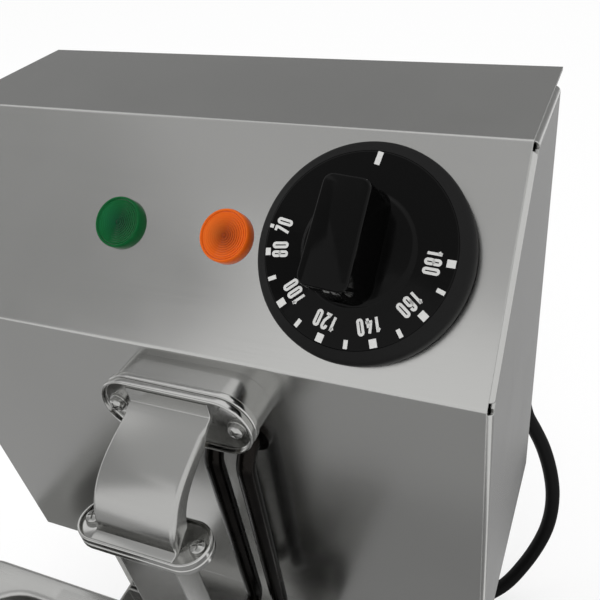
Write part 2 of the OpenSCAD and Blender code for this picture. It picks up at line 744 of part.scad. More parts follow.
collar_dia = 12;
module cutout_place() { in_head() translate([cutout_x, head_d, cutout_z]) rotate([-90, 0, 0]) children(); }
module cutout_body() {
    color("tan") cutout_place() difference() {
        translate([-15, -15, -sheet - 30]) cube([30, 30, 28]);
        translate([0, 0, -sheet - 14]) cylinder(h = 20, d = button_dia + 4);
    }
}
module cutout_collar() {
    color("#202020") cutout_place() difference() {
        union() {
            translate([0, 0, -sheet - 2]) cylinder(h = sheet + 5, d = collar_dia);
            translate([0, 0, 0.01]) cylinder(h = 3, d = collar_dia + 6, $fn = 6);
        }
        translate([0, 0, -10]) cylinder(h = 20, d = button_dia + 2 * button_play);
    }
}
module reset_button() {
    color("firebrick") cutout_place() {
        back = -sheet - 6 - button_travel;
        translate([0, 0, back]) cylinder(h = button_out - back, d = button_dia);
        translate([0, 0, back]) cylinder(h = 2, d = button_dia + 3);
    }
}

// ---------------------------------------------------------------- wiring and terminals

block_y = head_d - 38;
block_z = -lower_face_h + sheet;
block_size = [60, 20, 16];
poles = 5;
pole_pitch = block_size[0] / poles;
contactor_x = -20;
contactor_size = [44, 52, 60];
contact_tab = [5, 5, 6];
contact_pitch = 14;
module terminal_block() {
    color("ivory") in_head() difference() {
        translate([30, block_y, block_z]) cube(block_size);
        for (i = [0:poles - 1])
            translate([30 + (i + 0.5) * pole_pitch, block_y + block_size[1] / 2, block_z + 8])
                cylinder(h = 12, d = 5);
    }
}
module contactor() {
    color("#303030") in_head()
    translate([contactor_x - contactor_size[0] / 2, head_d - 62, block_z]) {
        cube(contactor_size);
        for (i = [0:2], y = [6, 40])
            translate([6 + i * contact_pitch, y, contactor_size[2] - eps]) cube(contact_tab);
    }
}
wire_r = 1.2;
// Point on the panel's underside, in the head's frame
function behind_panel(x, s, h) = [
    x, s * cos(panel_tilt) - h * sin(panel_tilt), s * sin(panel_tilt) + h * cos(panel_tilt)
];
lamp_tab_h = -lamp_barrel_l - 8.1;
body_tab_h = -sheet - bracket_stand - thermostat_depth - 8.1;
contact_y = head_d - 53.5;
contact_z = block_z + 66.1;
function to_contact(x) = [[x, contact_y, contact_z + 30], [x, contact_y, contact_z]];
function to_terminal(x) =
    [[x, block_y + 10, block_z + 50], [x, block_y + 10, block_z + 8.1]];
wire_routes = [
    concat([behind_panel(orange_x + 2.6, row_s, lamp_tab_h),
            behind_panel(orange_x + 2.6, row_s, lamp_tab_h - 30)], to_contact(contactor_x + 0.5)),
    concat([behind_panel(orange_x - lamp_pitch + 2.6, row_s, lamp_tab_h),
            behind_panel(orange_x - lamp_pitch + 2.6, row_s, lamp_tab_h - 30)],
           to_contact(contactor_x - 13.5)),
    concat([behind_panel(knob_x - 8, row_s - 9, body_tab_h),
            behind_panel(knob_x - 8, row_s - 9, body_tab_h - 30)], to_terminal(48)),
    concat([[gland_x, head_d - 4, gland_z], [gland_x, head_d - 24, gland_z]], to_terminal(84))
];
module wiring() {
    color("steelblue") in_head() for (route = wire_routes)
        tube_along([for (k = [0:8]) bezier(route, k / 8)], wire_r, 8);
}

// ---------------------------------------------------------------- neck

module neck_duct() {
    color("silver") in_head() translate([neck_x, 0, -neck_drop]) facing_front() difference() {
        linear_extrude(duct_l - 0.02) oval(duct_straight, duct_r);
        translate([0, 0, -1]) linear_extrude(duct_l + 2) oval(duct_straight, duct_r - sheet);
    }
}
// Oval plate, z towards the open side of its dish
module clamp_plate(dished, straight = duct_straight, r = clamp_r, pitch = clamp_screw_pitch) {
    difference() {
        linear_extrude(clamp_t) oval(straight, r);
        if (dished) translate([0, 0, clamp_t - dish_depth])
            linear_extrude(clamp_t) oval(straight, r - clamp_lip);
        for (x = [-1, 1]) translate([x * pitch / 2, 0, -1])
            cylinder(h = clamp_t + 2, d = clamp_screw_dia + 0.3);
        translate([0, 0, -1]) linear_extrude(clamp_t + 2) oval(12, 4);
    }
}
module clamp_screws(pitch) {
    for (x = [-1, 1]) translate([x * pitch / 2, 0, 0.02])
        screw(clamp_t + 2, clamp_screw_dia, clamp_screw_head);
}
module lower_clamp_plate(dished) {
    clamp_plate(dished, lower_clamp_straight, lower_clamp_r, lower_screw_pitch);
}
module upper_clamp_place(out) {
    in_head() translate([neck_x, -duct_l - out, -neck_drop]) facing_front() children();
}
module upper_clamp_rear() { color("silver") upper_clamp_place(0) clamp_plate(false); }
module upper_clamp_front() {
    color("silver") upper_clamp_place(clamp_t + clamp_gap) clamp_plate(true);
}
module upper_clamp_screws() {
    color("gray") upper_clamp_place(2 * clamp_t + clamp_gap - dish_depth)
        clamp_screws(clamp_screw_pitch);
}
// Bent channel over the neck: flange, curve, flange, and a wall down each side
module neck_cover() {
    outer = [for (k = [0:curve_steps]) bezier(cover_curve, k / curve_steps)];
    shell = [for (k = [0:curve_steps]) inset_point(outer, k, cover_t)];
    wall = [for (k = [0:curve_steps]) inset_point(outer, k, k == 0 ? cover_wall_top : cover_wall)];
    half = cover_w / 2;
    color("silver") in_head() translate([cover_x, 0, 0]) {
        across(-half, half) polygon(concat(outer, reverse(shell)));
        for (s = [0, 1]) across(s ? half - sheet : -half, s ? half : -half + sheet)
            polygon(concat(outer, reverse(wall)));
        translate([-half, cover_y0 - 0.02, cover_top_z - cover_t])
            cube([cover_w, cover_t, cover_flange + cover_t]);
        translate([-half, cover_end[0] - cover_foot, -neck_bottom + 0.02])
            cube([cover_w, cover_foot + cover_t, cover_t]);
        translate([-half, cover_end[0], -neck_bottom + 0.02])
            cube([cover_w, cover_t, 2.5]);
    }
}
function reverse(v) = [for (i = [last(v):-1:0]) v[i]];
function inset_point(p, i, t) =
    let (d = unit(p[min(i + 1, last(p))] - p[max(i - 1, 0)])) p[i] + t * [-d[1], d[0]];

module lower_clamp_place(z) {
    in_head() translate([neck_x, -neck_reach, z]) children();
}
lower_plate_z = -neck_bottom - clamp_t + dish_depth;
module lower_clamp_top() {
    color("silver") lower_clamp_place(lower_plate_z) lower_clamp_plate(true);
}
module lower_clamp_bottom() {
    color("silver") lower_clamp_place(lower_plate_z - clamp_gap - clamp_t)
        lower_clamp_plate(false);
}
module lower_clamp_screws() {
    color("gray") lower_clamp_place(-neck_bottom) clamp_screws(lower_screw_pitch);
}

// Channel that carries the sensors down into the tank
channel_w = 22;
channel_d = 9;
channel_low = guard_z + 26 - bend_z;
module sensor_channel() {
    top = lower_plate_z - clamp_gap - clamp_t - 0.02;
    color("silver") in_head() translate([neck_x, -neck_reach, 0]) difference() {
        translate([-channel_w / 2, -channel_d / 2, channel_low])
            cube([channel_w, channel_d, top - channel_low]);
        translate([-channel_w / 2 + sheet, -channel_d / 2 + sheet, channel_low - 1])
            cube([channel_w - 2 * sheet, channel_d, top - channel_low + 2]);
    }
}

// Sensor: copper capillary from the head, ending in a bulb that lies across behind the rack
sensor_bulb_dia = 6;
bulb_l = 74;
bulb_y = -neck_reach - 2.4;
bulb_z = channel_low - 12;
module sensor(side, from) {
    x = neck_x + side * 3;
    y = -neck_reach + 2;
    end_x = neck_x + side * 24;
    path = round_path(concat(from, [
        [x, 24, -neck_drop], [x, duct_top_y, -neck_drop], [x, y, -neck_bottom + 8],
        [x, y, channel_low + 4], [x, bulb_y, bulb_z], [end_x, bulb_y, bulb_z]
    ]), 4, 3);
    tube_along(path, 1, 8);
    translate([end_x - side * eps, bulb_y, bulb_z]) rotate([0, side * 90, 0])
        cylinder(h = bulb_l, d = sensor_bulb_dia);
}
module thermostat_sensor() {
    back = -sheet - bracket_stand - thermostat_depth - 0.7;
    color("peru") in_head() sensor(1,
        [behind_panel(knob_x - 10, row_s, back), behind_panel(knob_x - 10, row_s, back - 10)]);
}
module cutout_sensor() {
    color("peru") in_head() sensor(-1, [[cutout_x, head_d - sheet - 30.9, cutout_z]]);
}

// ---------------------------------------------------------------- heater

leg_z = -neck_drop - clamp_r - 7;
gland_hole_dia = 10;
leg_spread = 5;
rim_clear_z = rim_z + 22 - bend_z;
module heater_element() {
    y0 = rim_mid_y - head_face_y;
    back = leg_inner_y - head_face_y;
    z = heater_z - bend_z;
    lx = leg_mid_x - leg_pitch / 2;
    rx = leg_mid_x + leg_pitch / 2;
    row = function(k) y0 + ((loop_rows - 1) / 2 - k) * row_pitch;
    loops = [for (k = [0:loop_rows - 2], n = [0, 1])
        [k % 2 == 0 ? -loop_half_w : -loop_inner, row(k + n), z]];
    path = concat([
        [lx, 30, leg_z], [lx, -leg_y, leg_z], [lx - 2, -leg_y, rim_clear_z + 26],
        [lx - leg_spread, back, rim_clear_z], [lx - leg_spread, back, z],
        [lx - leg_spread, row(0), z]
    ], loops, [for (k = [last(loops):-1:0]) [-loops[k][0], loops[k][1], z]], [
        [rx + leg_spread, row(0), z],
        [rx + leg_spread, back, z], [rx + leg_spread, back, rim_clear_z],
        [rx - 3, -leg_y, rim_clear_z + 26], [rx, -leg_y, leg_z], [rx, 30, leg_z]
    ]);
    color("#3a3632") in_head() tube_along(round_path(path, leg_bend_r - 0.5, 4), heater_dia / 2, 10);
}
module heater_glands() {
    color("goldenrod") in_head() for (i = [-1, 1])
        translate([leg_mid_x + i * leg_pitch / 2, 0, leg_z]) facing_front() difference() {
            union() {
                translate([0, 0, -sheet - 8]) cylinder(h = sheet + 9, d = gland_hole_dia - 0.2);
                translate([0, 0, 0.01]) cylinder(h = 1.5, d = gland_hole_dia + 2.4);
            }
            translate([0, 0, -20]) cylinder(h = 40, d = heater_dia + 0.4);
        }
}
// Frame of bent wire with rounded corners
frame_r = 20;
module wire_frame(half_w, front, rear, z) {
    x = half_w - frame_r;
    y = (rear - front) / 2 - frame_r;
    translate([0, (front + rear) / 2, z]) {
        for (s = [-1, 1]) {
            wire([-x, s * (y + frame_r), 0], [x, s * (y + frame_r), 0]);
            wire([s * half_w, -y, 0], [s * half_w, y, 0]);
        }
        for (i = [0:3]) translate([(i == 0 || i == 3 ? 1 : -1) * x, (i < 2 ? 1 : -1) * y, 0])
            rotate([0, 0, 90 * i]) rotate_extrude(angle = 90, $fn = 64)
                translate([frame_r, 0]) circle(d = wire_dia, $fn = 24);
    }
}
module heater_guard() {
    n = floor((guard_half_w - frame_r) / guard_pitch);
    color("silver") {
        wire_frame(guard_half_w, guard_front_y, guard_rear_y, guard_z);
        for (i = [-n:n])
            wire([i * guard_pitch, guard_front_y, guard_z], [i * guard_pitch, guard_rear_y, guard_z],
                 wire_dia - 1);
    }
}
// Two clips that hold the guard on the front row of the heater
clip_y = rim_mid_y - (loop_rows - 1) / 2 * row_pitch;
module guard_clips() {
    low = heater_z - heater_dia / 2 - 1.4;
    color("silver") for (x = [-4, 4]) translate([x * guard_pitch, clip_y, 0]) difference() {
        translate([-5, -heater_dia / 2 - 1.6, low])
            cube([10, heater_dia + 3.2, guard_z + wire_dia / 2 + 0.4 - low]);
        translate([0, 0, heater_z]) rotate([0, 90, 0])
            cylinder(h = 12, d = heater_dia + 0.6, center = true);
        translate([0, 0, guard_z]) rotate([90, 0, 0])
            cylinder(h = 20, d = wire_dia - 1 + 0.4, center = true);
    }
}

// ---------------------------------------------------------------- frying rack

module fry_rack() {
    n = floor((rack_half_w - frame_r) / rack_pitch);
    color("silver") {
        wire_frame(rack_half_w, rack_front_y, rack_rear_y, rack_z);
        for (i = [-n:n])
            wire([i * rack_pitch, rack_front_y, rack_z], [i * rack_pitch, rack_rear_y, rack_z],
                 wire_dia - 1);
    }
}
module rack_handle(side) {
    x = side * rack_half_w;
    top = rim_z + rack_handle_h;
    a = [x, rack_mid_y - rack_handle_w / 2, rack_z + wire_dia + 0.02];
    b = [x, rack_mid_y - rack_handle_w / 2, top];
    c = [x, rack_mid_y + rack_handle_w / 2, top];
    d = [x, rack_mid_y + rack_handle_w / 2, rack_z + wire_dia + 0.02];
    color("silver") {
        wire(a, b);
        wire(b, c);
        wire(c, d);
        for (p = [a, b, c, d]) knuckle(p);
        wire(a - [0, 10, 0], d + [0, 10, 0]);
    }
}

// ---------------------------------------------------------------- cord

gland_thread_dia = 14;
module strain_relief() {
    color("#1a1a1a") in_head() translate([gland_x, head_d, gland_z]) rotate([-90, 0, 0])
        difference() {
            union() {
                translate([0, 0, -sheet - 6]) cylinder(h = sheet + 7, d = gland_thread_dia);
                translate([0, 0, 0.01]) cylinder(h = 6, d = gland_thread_dia + 6, $fn = 6);
                translate([0, 0, 6]) cylinder(h = relief_l - 6.02, d1 = 16, d2 = cord_dia + 3);
            }
            translate([0, 0, -12]) cylinder(h = 12 + relief_l - 8, d = cord_dia - 1);
        }
}
module cord_tube() { color("#161616") tube_along(cord_points, cord_dia / 2, cord_sides); }
module cord_coil() {
    half = coil_turns_wide * cord_dia / 2;
    color("#161616") translate([coil_centre[0], coil_centre[1], 0])
        rotate_extrude($fn = 64) translate([coil_r - half, 0])
        square([2 * half, coil_turns_high * cord_dia]);
}
module cord_tail() { color("#161616") tube_along(tail_points, cord_dia / 2, cord_sides); }
plug_cone_l = 22;
plug_x = tail_points[last(tail_points)][0] - plug_cone_l - plug_l;
plug_y = tail_points[last(tail_points)][1];
module plug_body() {
    color("#161616") translate([plug_x, plug_y, plug_dia / 2]) rotate([0, 90, 0]) {
        cylinder(h = plug_l, d = plug_dia);
        translate([0, 0, plug_l - eps]) cylinder(h = plug_cone_l, d1 = plug_dia - 6, d2 = cord_dia + 4);
    }
}
module plug_pins() {
    color("silver") for (y = [-1, 1])
        translate([plug_x - 19, plug_y + y * 9.5, plug_dia / 2]) rotate([0, 90, 0])
            cylinder(h = 18.98, d = 4.8);
}

// ---------------------------------------------------------------- nodes

casing();
base_plate();
rubber_feet();
oil_tank();
carry_handle(-1);  // carry_handle_left
carry_handle(1);  // carry_handle_right
handle_screws();
guide(-1);  // guide_left
guide(1);  // guide_right
guide_rivets();
head_wrap();
side_panel(-1);  // side_panel_left
side_panel(1);  // side_panel_right
rear_cover();
bottom_plate();
head_bracket();
bracket_screws();
cover_screws();
lamp_lens(orange_x - lamp_pitch, "seagreen");  // green_lamp_lens
lamp_lens(orange_x, "darkorange");  // orange_lamp_lens
lamp_body(orange_x - lamp_pitch);  // green_lamp_body
lamp_body(orange_x);  // orange_lamp_body
thermostat_body();
thermostat_bush();
thermostat_screws();
cutout_body();
cutout_collar();
terminal_block();
contactor();
wiring();
neck_duct();
upper_clamp_rear();
upper_clamp_front();
upper_clamp_screws();
neck_cover();
lower_clamp_top();
lower_clamp_bottom();
lower_clamp_screws();
sensor_channel();
thermostat_sensor();
cutout_sensor();
heater_element();
heater_glands();
heater_guard();
guard_clips();
knob_dial();
knob_grip();
knob_shaft();
reset_button();
fry_rack();
rack_handle(-1);  // rack_handle_left
rack_handle(1);  // rack_handle_right
strain_relief();
cord_tube();
cord_coil();
cord_tail();
plug_body();
plug_pins();
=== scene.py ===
"""Looks of a table-top donut fryer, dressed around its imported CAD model.

Sizes are in millimetres and become metres when a mesh is made. The head's own frame has its
origin in the middle of the bend between the sloping panel and the lower front face.
"""

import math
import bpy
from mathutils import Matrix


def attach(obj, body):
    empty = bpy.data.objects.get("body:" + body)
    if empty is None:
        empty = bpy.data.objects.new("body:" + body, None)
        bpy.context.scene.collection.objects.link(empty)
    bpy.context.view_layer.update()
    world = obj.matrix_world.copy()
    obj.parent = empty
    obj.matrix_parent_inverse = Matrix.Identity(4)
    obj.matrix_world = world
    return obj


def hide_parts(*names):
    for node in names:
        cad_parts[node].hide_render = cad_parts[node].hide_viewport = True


bl_info = {
    "name": "Donut fryer dresser",
    "version": (1, 0, 0),
    "blender": (4, 5, 0),
    "location": "View3D > Sidebar > Donut fryer",
    "description": "Builds the finished surfaces of a table-top donut fryer around its CAD frame",
    "category": "Object",
}

import bmesh
import bpy
from mathutils import Matrix, Vector

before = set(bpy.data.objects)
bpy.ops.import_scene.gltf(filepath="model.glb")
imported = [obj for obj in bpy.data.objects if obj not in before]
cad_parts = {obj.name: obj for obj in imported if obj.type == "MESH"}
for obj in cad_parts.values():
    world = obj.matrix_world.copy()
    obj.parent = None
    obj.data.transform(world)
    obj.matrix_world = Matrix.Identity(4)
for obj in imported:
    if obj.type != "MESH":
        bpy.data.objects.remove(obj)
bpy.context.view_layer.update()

# ------------------------------------------------------------------ the machine's sizes, in mm
MM = 0.001
HEAD_W = 229.0
LOWER_FACE_H = 144.0
PANEL_L = 80.6
TOP_D = 62.0
SHEET = 1.2
SLOPE = math.radians(45)
PANEL_RUN = PANEL_L * math.cos(SLOPE)
HEAD_D = PANEL_RUN + TOP_D
RIM_Z = 150.0
RIM_W, RIM_D, RIM_GAP = 320.0, 350.0, 12.0
RIM_LEDGE = 12.0
TANK_DEPTH = 112.0
BUTTON_OUT = 6.0
HEAD_CLEAR = 34.0
BEND_Z = RIM_Z + HEAD_CLEAR + LOWER_FACE_H
HEAD_Y = (RIM_GAP + RIM_D - HEAD_D - BUTTON_OUT) / 2
RIM_MID_Y = HEAD_Y - RIM_GAP - RIM_D / 2
ROW_S = 40.3
KNOB_X = 69.0
LAMP_X = {"green": -21.5, "orange": 20.5}
NECK_X = 12.8
COVER_X = 12.1
NECK_DROP = 15.0

HEAD = Matrix.Translation((0, HEAD_Y, BEND_Z))


def on_panel(x, s=ROW_S, h=0.0):
    """Frame of a point on the sloping panel: X along it, Y up it and Z out of it."""
    return (
        HEAD
        @ Matrix.Translation((x, s * math.cos(SLOPE), s * math.sin(SLOPE)))
        @ Matrix.Rotation(SLOPE, 4, "X")
        @ Matrix.Translation((0, 0, h))
    )


def facing_front(x, y, z):
    """Frame whose Z comes out of the head's front, with X to the right."""
    return HEAD @ Matrix.Translation((x, y, z)) @ Matrix.Rotation(math.pi / 2, 4, "X")


# ------------------------------------------------------------------ colours and node helper


def srgb(text):
    """sRGB hex colour as linear RGBA."""
    parts = [int(text[i : i + 2], 16) / 255 for i in (0, 2, 4)]
    linear = (c / 12.92 if c <= 0.04045 else ((c + 0.055) / 1.055) ** 2.4 for c in parts)
    return (*linear, 1.0)


def add(tree, kind, links=None, **settings):
    """Adds one node with its settings and the links to its inputs."""
    node = tree.nodes.new(kind)
    for name, value in settings.items():
        if hasattr(node, name):
            setattr(node, name, value)
        else:
            node.inputs[name.replace("_", " ")].default_value = value
    for socket, source in (links or {}).items():
        tree.links.new(source, node.inputs[socket])
    return node


def new_material(name, **shader):
    material = bpy.data.materials.new(name)
    material.use_nodes = True
    tree = material.node_tree
    bsdf = tree.nodes["Principled BSDF"]
    for socket, value in shader.items():
        bsdf.inputs[socket.replace("_", " ")].default_value = value
    return material, tree, bsdf


def surface(tree, bsdf, pattern, span, rough, relief=None, edge_mm=0.0):
    """Varies the roughness with a pattern, raises the relief (pattern, strength, depth in mm)
    and rounds the edges."""
    spread = add(
        tree, "ShaderNodeMapRange", {"Value": pattern},
        From_Min=span[0], From_Max=span[1], To_Min=rough[0], To_Max=rough[1],
    )
    tree.links.new(spread.outputs[0], bsdf.inputs["Roughness"])
    if not relief:
        return
    height, strength, depth = relief
    last = add(tree, "ShaderNodeBump", {"Height": height}, Strength=strength, Distance=depth * MM)
    if edge_mm:
        links = {"Normal": last.outputs["Normal"]}
        last = add(tree, "ShaderNodeBevel", links, samples=6, Radius=edge_mm * MM)
    tree.links.new(last.outputs["Normal"], bsdf.inputs["Normal"])


# ------------------------------------------------------------------ finishes


def ground_stainless(name, grain, colour="BCBCBA", rough=0.24, edge_mm=0.6, cloud=0.5):
    """Stainless sheet (1.4301), ground with a fine belt: short hair lines along the grain that
    stretch reflections across them, and faint clouding from rolling and wiping."""
    material, tree, bsdf = new_material(name, Metallic=1.0)
    where = add(tree, "ShaderNodeTexCoord").outputs["Object"]
    # hair lines are 0.05 mm wide on the real sheet; drawn 0.3 mm wide so that they show
    stretch = {"X": (18, 3400, 3400), "Z": (3400, 3400, 18)}[grain]
    lines_at = add(tree, "ShaderNodeMapping", {"Vector": where}, Scale=stretch)
    lines = add(tree, "ShaderNodeTexNoise", {"Vector": lines_at.outputs[0]}, Scale=1.0, Detail=2.0)
    # clouding 40 to 60 mm across
    clouds = add(tree, "ShaderNodeTexNoise", {"Vector": where}, Scale=22.0, Detail=3.0)
    base = srgb(colour)
    tone = add(tree, "ShaderNodeMix", {"Factor": clouds.outputs["Fac"]}, data_type="RGBA")
    tone.inputs["A"].default_value = tuple(c * (1 - 0.06 * cloud) for c in base[:3]) + (1,)
    tone.inputs["B"].default_value = tuple(min(1, c * (1 + 0.06 * cloud)) for c in base[:3]) + (1,)
    tree.links.new(tone.outputs["Result"], bsdf.inputs["Base Color"])
    blend = add(
        tree, "ShaderNodeMath",
        {0: lines.outputs["Fac"], 1: clouds.outputs["Fac"]}, operation="ADD",
    )
    surface(
        tree, bsdf, blend.outputs[0], (0.6, 1.4), (rough - 0.05, rough + 0.05),
        (lines.outputs["Fac"], 0.10, 0.02), edge_mm,
    )
    return material


def bright_stainless(name, colour="BEBEBC", rough=0.14, edge_mm=0.3, dents=0.15):
    """Electropolished or pressed stainless: bright, with the slight orange peel of forming."""
    material, tree, bsdf = new_material(name, Metallic=1.0, Base_Color=srgb(colour))
    where = add(tree, "ShaderNodeTexCoord").outputs["Object"]
    # orange peel about 1.5 mm across
    peel = add(tree, "ShaderNodeTexNoise", {"Vector": where}, Scale=650.0, Detail=1.0)
    surface(
        tree, bsdf, peel.outputs["Fac"], (0.3, 0.7), (rough - 0.03, rough + 0.04),
        (peel.outputs["Fac"], dents, 0.02), edge_mm,
    )
    return material


def heater_sheath(name, colour="1C1917"):
    """Mineral-filled steel heater tube: brown-black oxide with a baked-oil gloss."""
    material, tree, bsdf = new_material(name, Metallic=0.9)
    where = add(tree, "ShaderNodeTexCoord").outputs["Object"]
    # oxide patches about 12 mm long
    patches = add(tree, "ShaderNodeTexNoise", {"Vector": where}, Scale=80.0, Detail=4.0)
    ramp = add(tree, "ShaderNodeValToRGB", {"Fac": patches.outputs["Fac"]})
    ramp.color_ramp.elements[0].position = 0.35
    ramp.color_ramp.elements[0].color = srgb("0E0C0A")
    ramp.color_ramp.elements[1].position = 0.75
    ramp.color_ramp.elements[1].color = srgb(colour)
    tree.links.new(ramp.outputs["Color"], bsdf.inputs["Base Color"])
    surface(tree, bsdf, patches.outputs["Fac"], (0.3, 0.7), (0.16, 0.3))
    return material


def phenolic(name, colour, rough, grain_mm=0.0, specular=0.25, edge_mm=0.25):
    """Compression-moulded phenolic: black all through, glossy where the mould is polished and
    finely pitted where it is spark-eroded."""
    material, tree, bsdf = new_material(
        name, Base_Color=srgb(colour), Specular_IOR_Level=specular
    )
    where = add(tree, "ShaderNodeTexCoord").outputs["Object"]
    scale = 1000.0 / (grain_mm or 3.0)  # a polished mould leaves a swell about 3 mm across
    pits = add(tree, "ShaderNodeTexNoise", {"Vector": where}, Scale=scale, Detail=2.0)
    surface(
        tree, bsdf, pits.outputs["Fac"], (0.3, 0.7), (max(0.03, rough - 0.05), rough + 0.06),
        (pits.outputs["Fac"], 0.5 if grain_mm else 0.04, 0.04), edge_mm,
    )
    return material


def lamp_plastic(name, rim, heart):
    """Tinted polycarbonate lens over a dark lamp, its colour darker in the middle as painted shade
    of the dark lamp behind it, with a faint painted glow in the same colours.
    """
    material, tree, bsdf = new_material(
        name, Roughness=0.2, Subsurface_Weight=0.25, Subsurface_Scale=0.004,
        Specular_IOR_Level=0.06,
    )
    where = add(tree, "ShaderNodeTexCoord").outputs["Object"]
    flat = add(tree, "ShaderNodeVectorMath", {0: where}, operation="MULTIPLY")
    flat.inputs[1].default_value = (1, 1, 0)
    reach = add(tree, "ShaderNodeVectorMath", {0: flat.outputs[0]}, operation="LENGTH")
    ramp = add(tree, "ShaderNodeValToRGB")
    # the ramp runs from the axis to 10 mm out, a little past the rim
    scaled = add(tree, "ShaderNodeMath", {0: reach.outputs["Value"]}, operation="MULTIPLY")
    scaled.inputs[1].default_value = 100.0
    tree.links.new(scaled.outputs[0], ramp.inputs["Fac"])
    # the colour darkens towards the middle: painted shade of the dark lamp behind the lens
    ramp.color_ramp.elements[0].position = 0.05
    ramp.color_ramp.elements[0].color = srgb(heart)
    ramp.color_ramp.elements[1].position = 0.68
    ramp.color_ramp.elements[1].color = srgb(rim)
    tree.links.new(ramp.outputs["Color"], bsdf.inputs["Base Color"])
    # the lens glows faintly in these colours though its lamp is dark: a painted glow
    tree.links.new(ramp.outputs["Color"], bsdf.inputs["Emission Color"])
    bsdf.inputs["Emission Strength"].default_value = 0.03
    bsdf.inputs["Subsurface Radius"].default_value = (1.0, 1.0, 1.0)
    return material


def moulded(name, colour, rough=0.5, grain_mm=0.8, specular=0.4):
    """Injection-moulded plastic or rubber with a fine eroded grain."""
    material, tree, bsdf = new_material(
        name, Base_Color=srgb(colour), Specular_IOR_Level=specular
    )
    where = add(tree, "ShaderNodeTexCoord").outputs["Object"]
    grain = add(tree, "ShaderNodeTexNoise", {"Vector": where}, Scale=1000.0 / grain_mm, Detail=2.0)
    surface(
        tree, bsdf, grain.outputs["Fac"], (0.3, 0.7), (rough - 0.06, rough + 0.06),
        (grain.outputs["Fac"], 0.25, 0.03), 0.4,
    )
    return material


def turned_metal(name, colour, rough=0.28):
    """Turned or drawn brass and copper with a thin dull film."""
    material, tree, bsdf = new_material(name, Metallic=1.0)
    where = add(tree, "ShaderNodeTexCoord").outputs["Object"]
    # patches of film about 6 mm across
    film = add(tree, "ShaderNodeTexNoise", {"Vector": where}, Scale=160.0, Detail=3.0)
    base = srgb(colour)
    tone = add(tree, "ShaderNodeMix", {"Factor": film.outputs["Fac"]}, data_type="RGBA")
    tone.inputs["A"].default_value = tuple(c * 0.8 for c in base[:3]) + (1,)
    tone.inputs["B"].default_value = base
    tree.links.new(tone.outputs["Result"], bsdf.inputs["Base Color"])
    bsdf.inputs["Roughness"].default_value = rough
    edges = add(tree, "ShaderNodeBevel", samples=6, Radius=0.2 * MM)
    tree.links.new(edges.outputs["Normal"], bsdf.inputs["Normal"])
    return material


def printed_ink(name, colour="C8C8C6"):
    """Pad-printed white ink: thin, matt, with slightly uneven cover."""
    material, tree, bsdf = new_material(name, Roughness=0.5)
    where = add(tree, "ShaderNodeTexCoord").outputs["Object"]
    # cover varies over about 1 mm
    cover = add(tree, "ShaderNodeTexNoise", {"Vector": where}, Scale=900.0, Detail=1.0)
    tone = add(tree, "ShaderNodeMix", {"Factor": cover.outputs["Fac"]}, data_type="RGBA")
    tone.inputs["A"].default_value = tuple(c * 0.86 for c in srgb(colour)[:3]) + (1,)
    tone.inputs["B"].default_value = srgb(colour)
    tree.links.new(tone.outputs["Result"], bsdf.inputs["Base Color"])
    return material


FINISH = {}


def make_finishes(look):
    rough = look.steel_roughness
    FINISH.update(
        wrap=ground_stainless("stainless_sheet_ground_along_width", "X", rough=rough),
        side=ground_stainless("stainless_side_ground_upright", "Z", rough=rough),
        tank=ground_stainless("stainless_deep_drawn", "X", "BCBCBA", rough=0.3, edge_mm=0.8),
        pressed=bright_stainless("stainless_pressed_plate"),
        cover=ground_stainless("stainless_bent_strap", "X", "B0B0AE", rough=0.24, edge_mm=0.0),
        rod=bright_stainless("stainless_rod_electropolished", edge_mm=0.0),
        screw=bright_stainless("steel_screw_zinc_plated", "B0B0AE", rough=0.18, edge_mm=0.2),
        heater=heater_sheath("heater_tube_oxidised"),
        gloss_black=phenolic("phenolic_black_polished", "040404", 0.12, specular=0.11),
        matt_black=phenolic("phenolic_black_pitted", "121212", 0.5, grain_mm=0.5, specular=0.12),
        handle=phenolic("phenolic_black_handle", "0A0A0A", 0.35, grain_mm=0.8),
        tan=moulded("phenolic_brown_housing", "6B4E2E", 0.5),
        white=moulded("polyamide_white", "DAD8D0", 0.5),
        grey=moulded("polyamide_grey", "4A4C50", 0.5),
        red=moulded("polyamide_red", "A81410", 0.35),
        wire=moulded("silicone_wire_sheath", "2C4A78", 0.5),
        rubber=moulded("rubber_black_moulded", "111111", 0.6, specular=0.3),
        flex=moulded("rubber_cord_sheath", "060606", 0.5, specular=0.12),
        brass=turned_metal("brass_turned", "B89A5A"),
        copper=turned_metal("copper_nickel_plated", "9C9890"),
        green=lamp_plastic("polycarbonate_green", look.green_rim, look.green_heart),
        orange=lamp_plastic("polycarbonate_orange", look.orange_rim, look.orange_heart),
        ink=printed_ink("ink_white_printed"),
    )


# ------------------------------------------------------------------ mesh helpers


def solid(name, points, faces, finish, place=None, body="head", replaces=(), slot=None, sharp=35.0):
    """Closed mesh from points in mm; its object sits at the place given, so that a pattern
    round an axis can use the piece's own coordinates."""
    mesh = bpy.data.meshes.new(name)
    mesh.from_pydata([tuple(c * MM for c in p) for p in points], [], faces)
    work = bmesh.new()
    work.from_mesh(mesh)
    bmesh.ops.remove_doubles(work, verts=work.verts, dist=1e-7)
    bmesh.ops.recalc_face_normals(work, faces=work.faces)
    work.to_mesh(mesh)
    work.free()
    mesh.polygons.foreach_set("use_smooth", [True] * len(mesh.polygons))
    mesh.set_sharp_from_angle(angle=math.radians(sharp))
    mesh.materials.append(FINISH[finish] if isinstance(finish, str) else finish)
    piece = bpy.data.objects.new(name, mesh)
    bpy.context.scene.collection.objects.link(piece)
    if place is not None:
        piece.matrix_world = metres(place)
    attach(piece, body)
    if replaces:
        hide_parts(*replaces)
    return piece


def metres(place):
    scaled = place.copy()
    scaled.translation *= MM
    return scaled


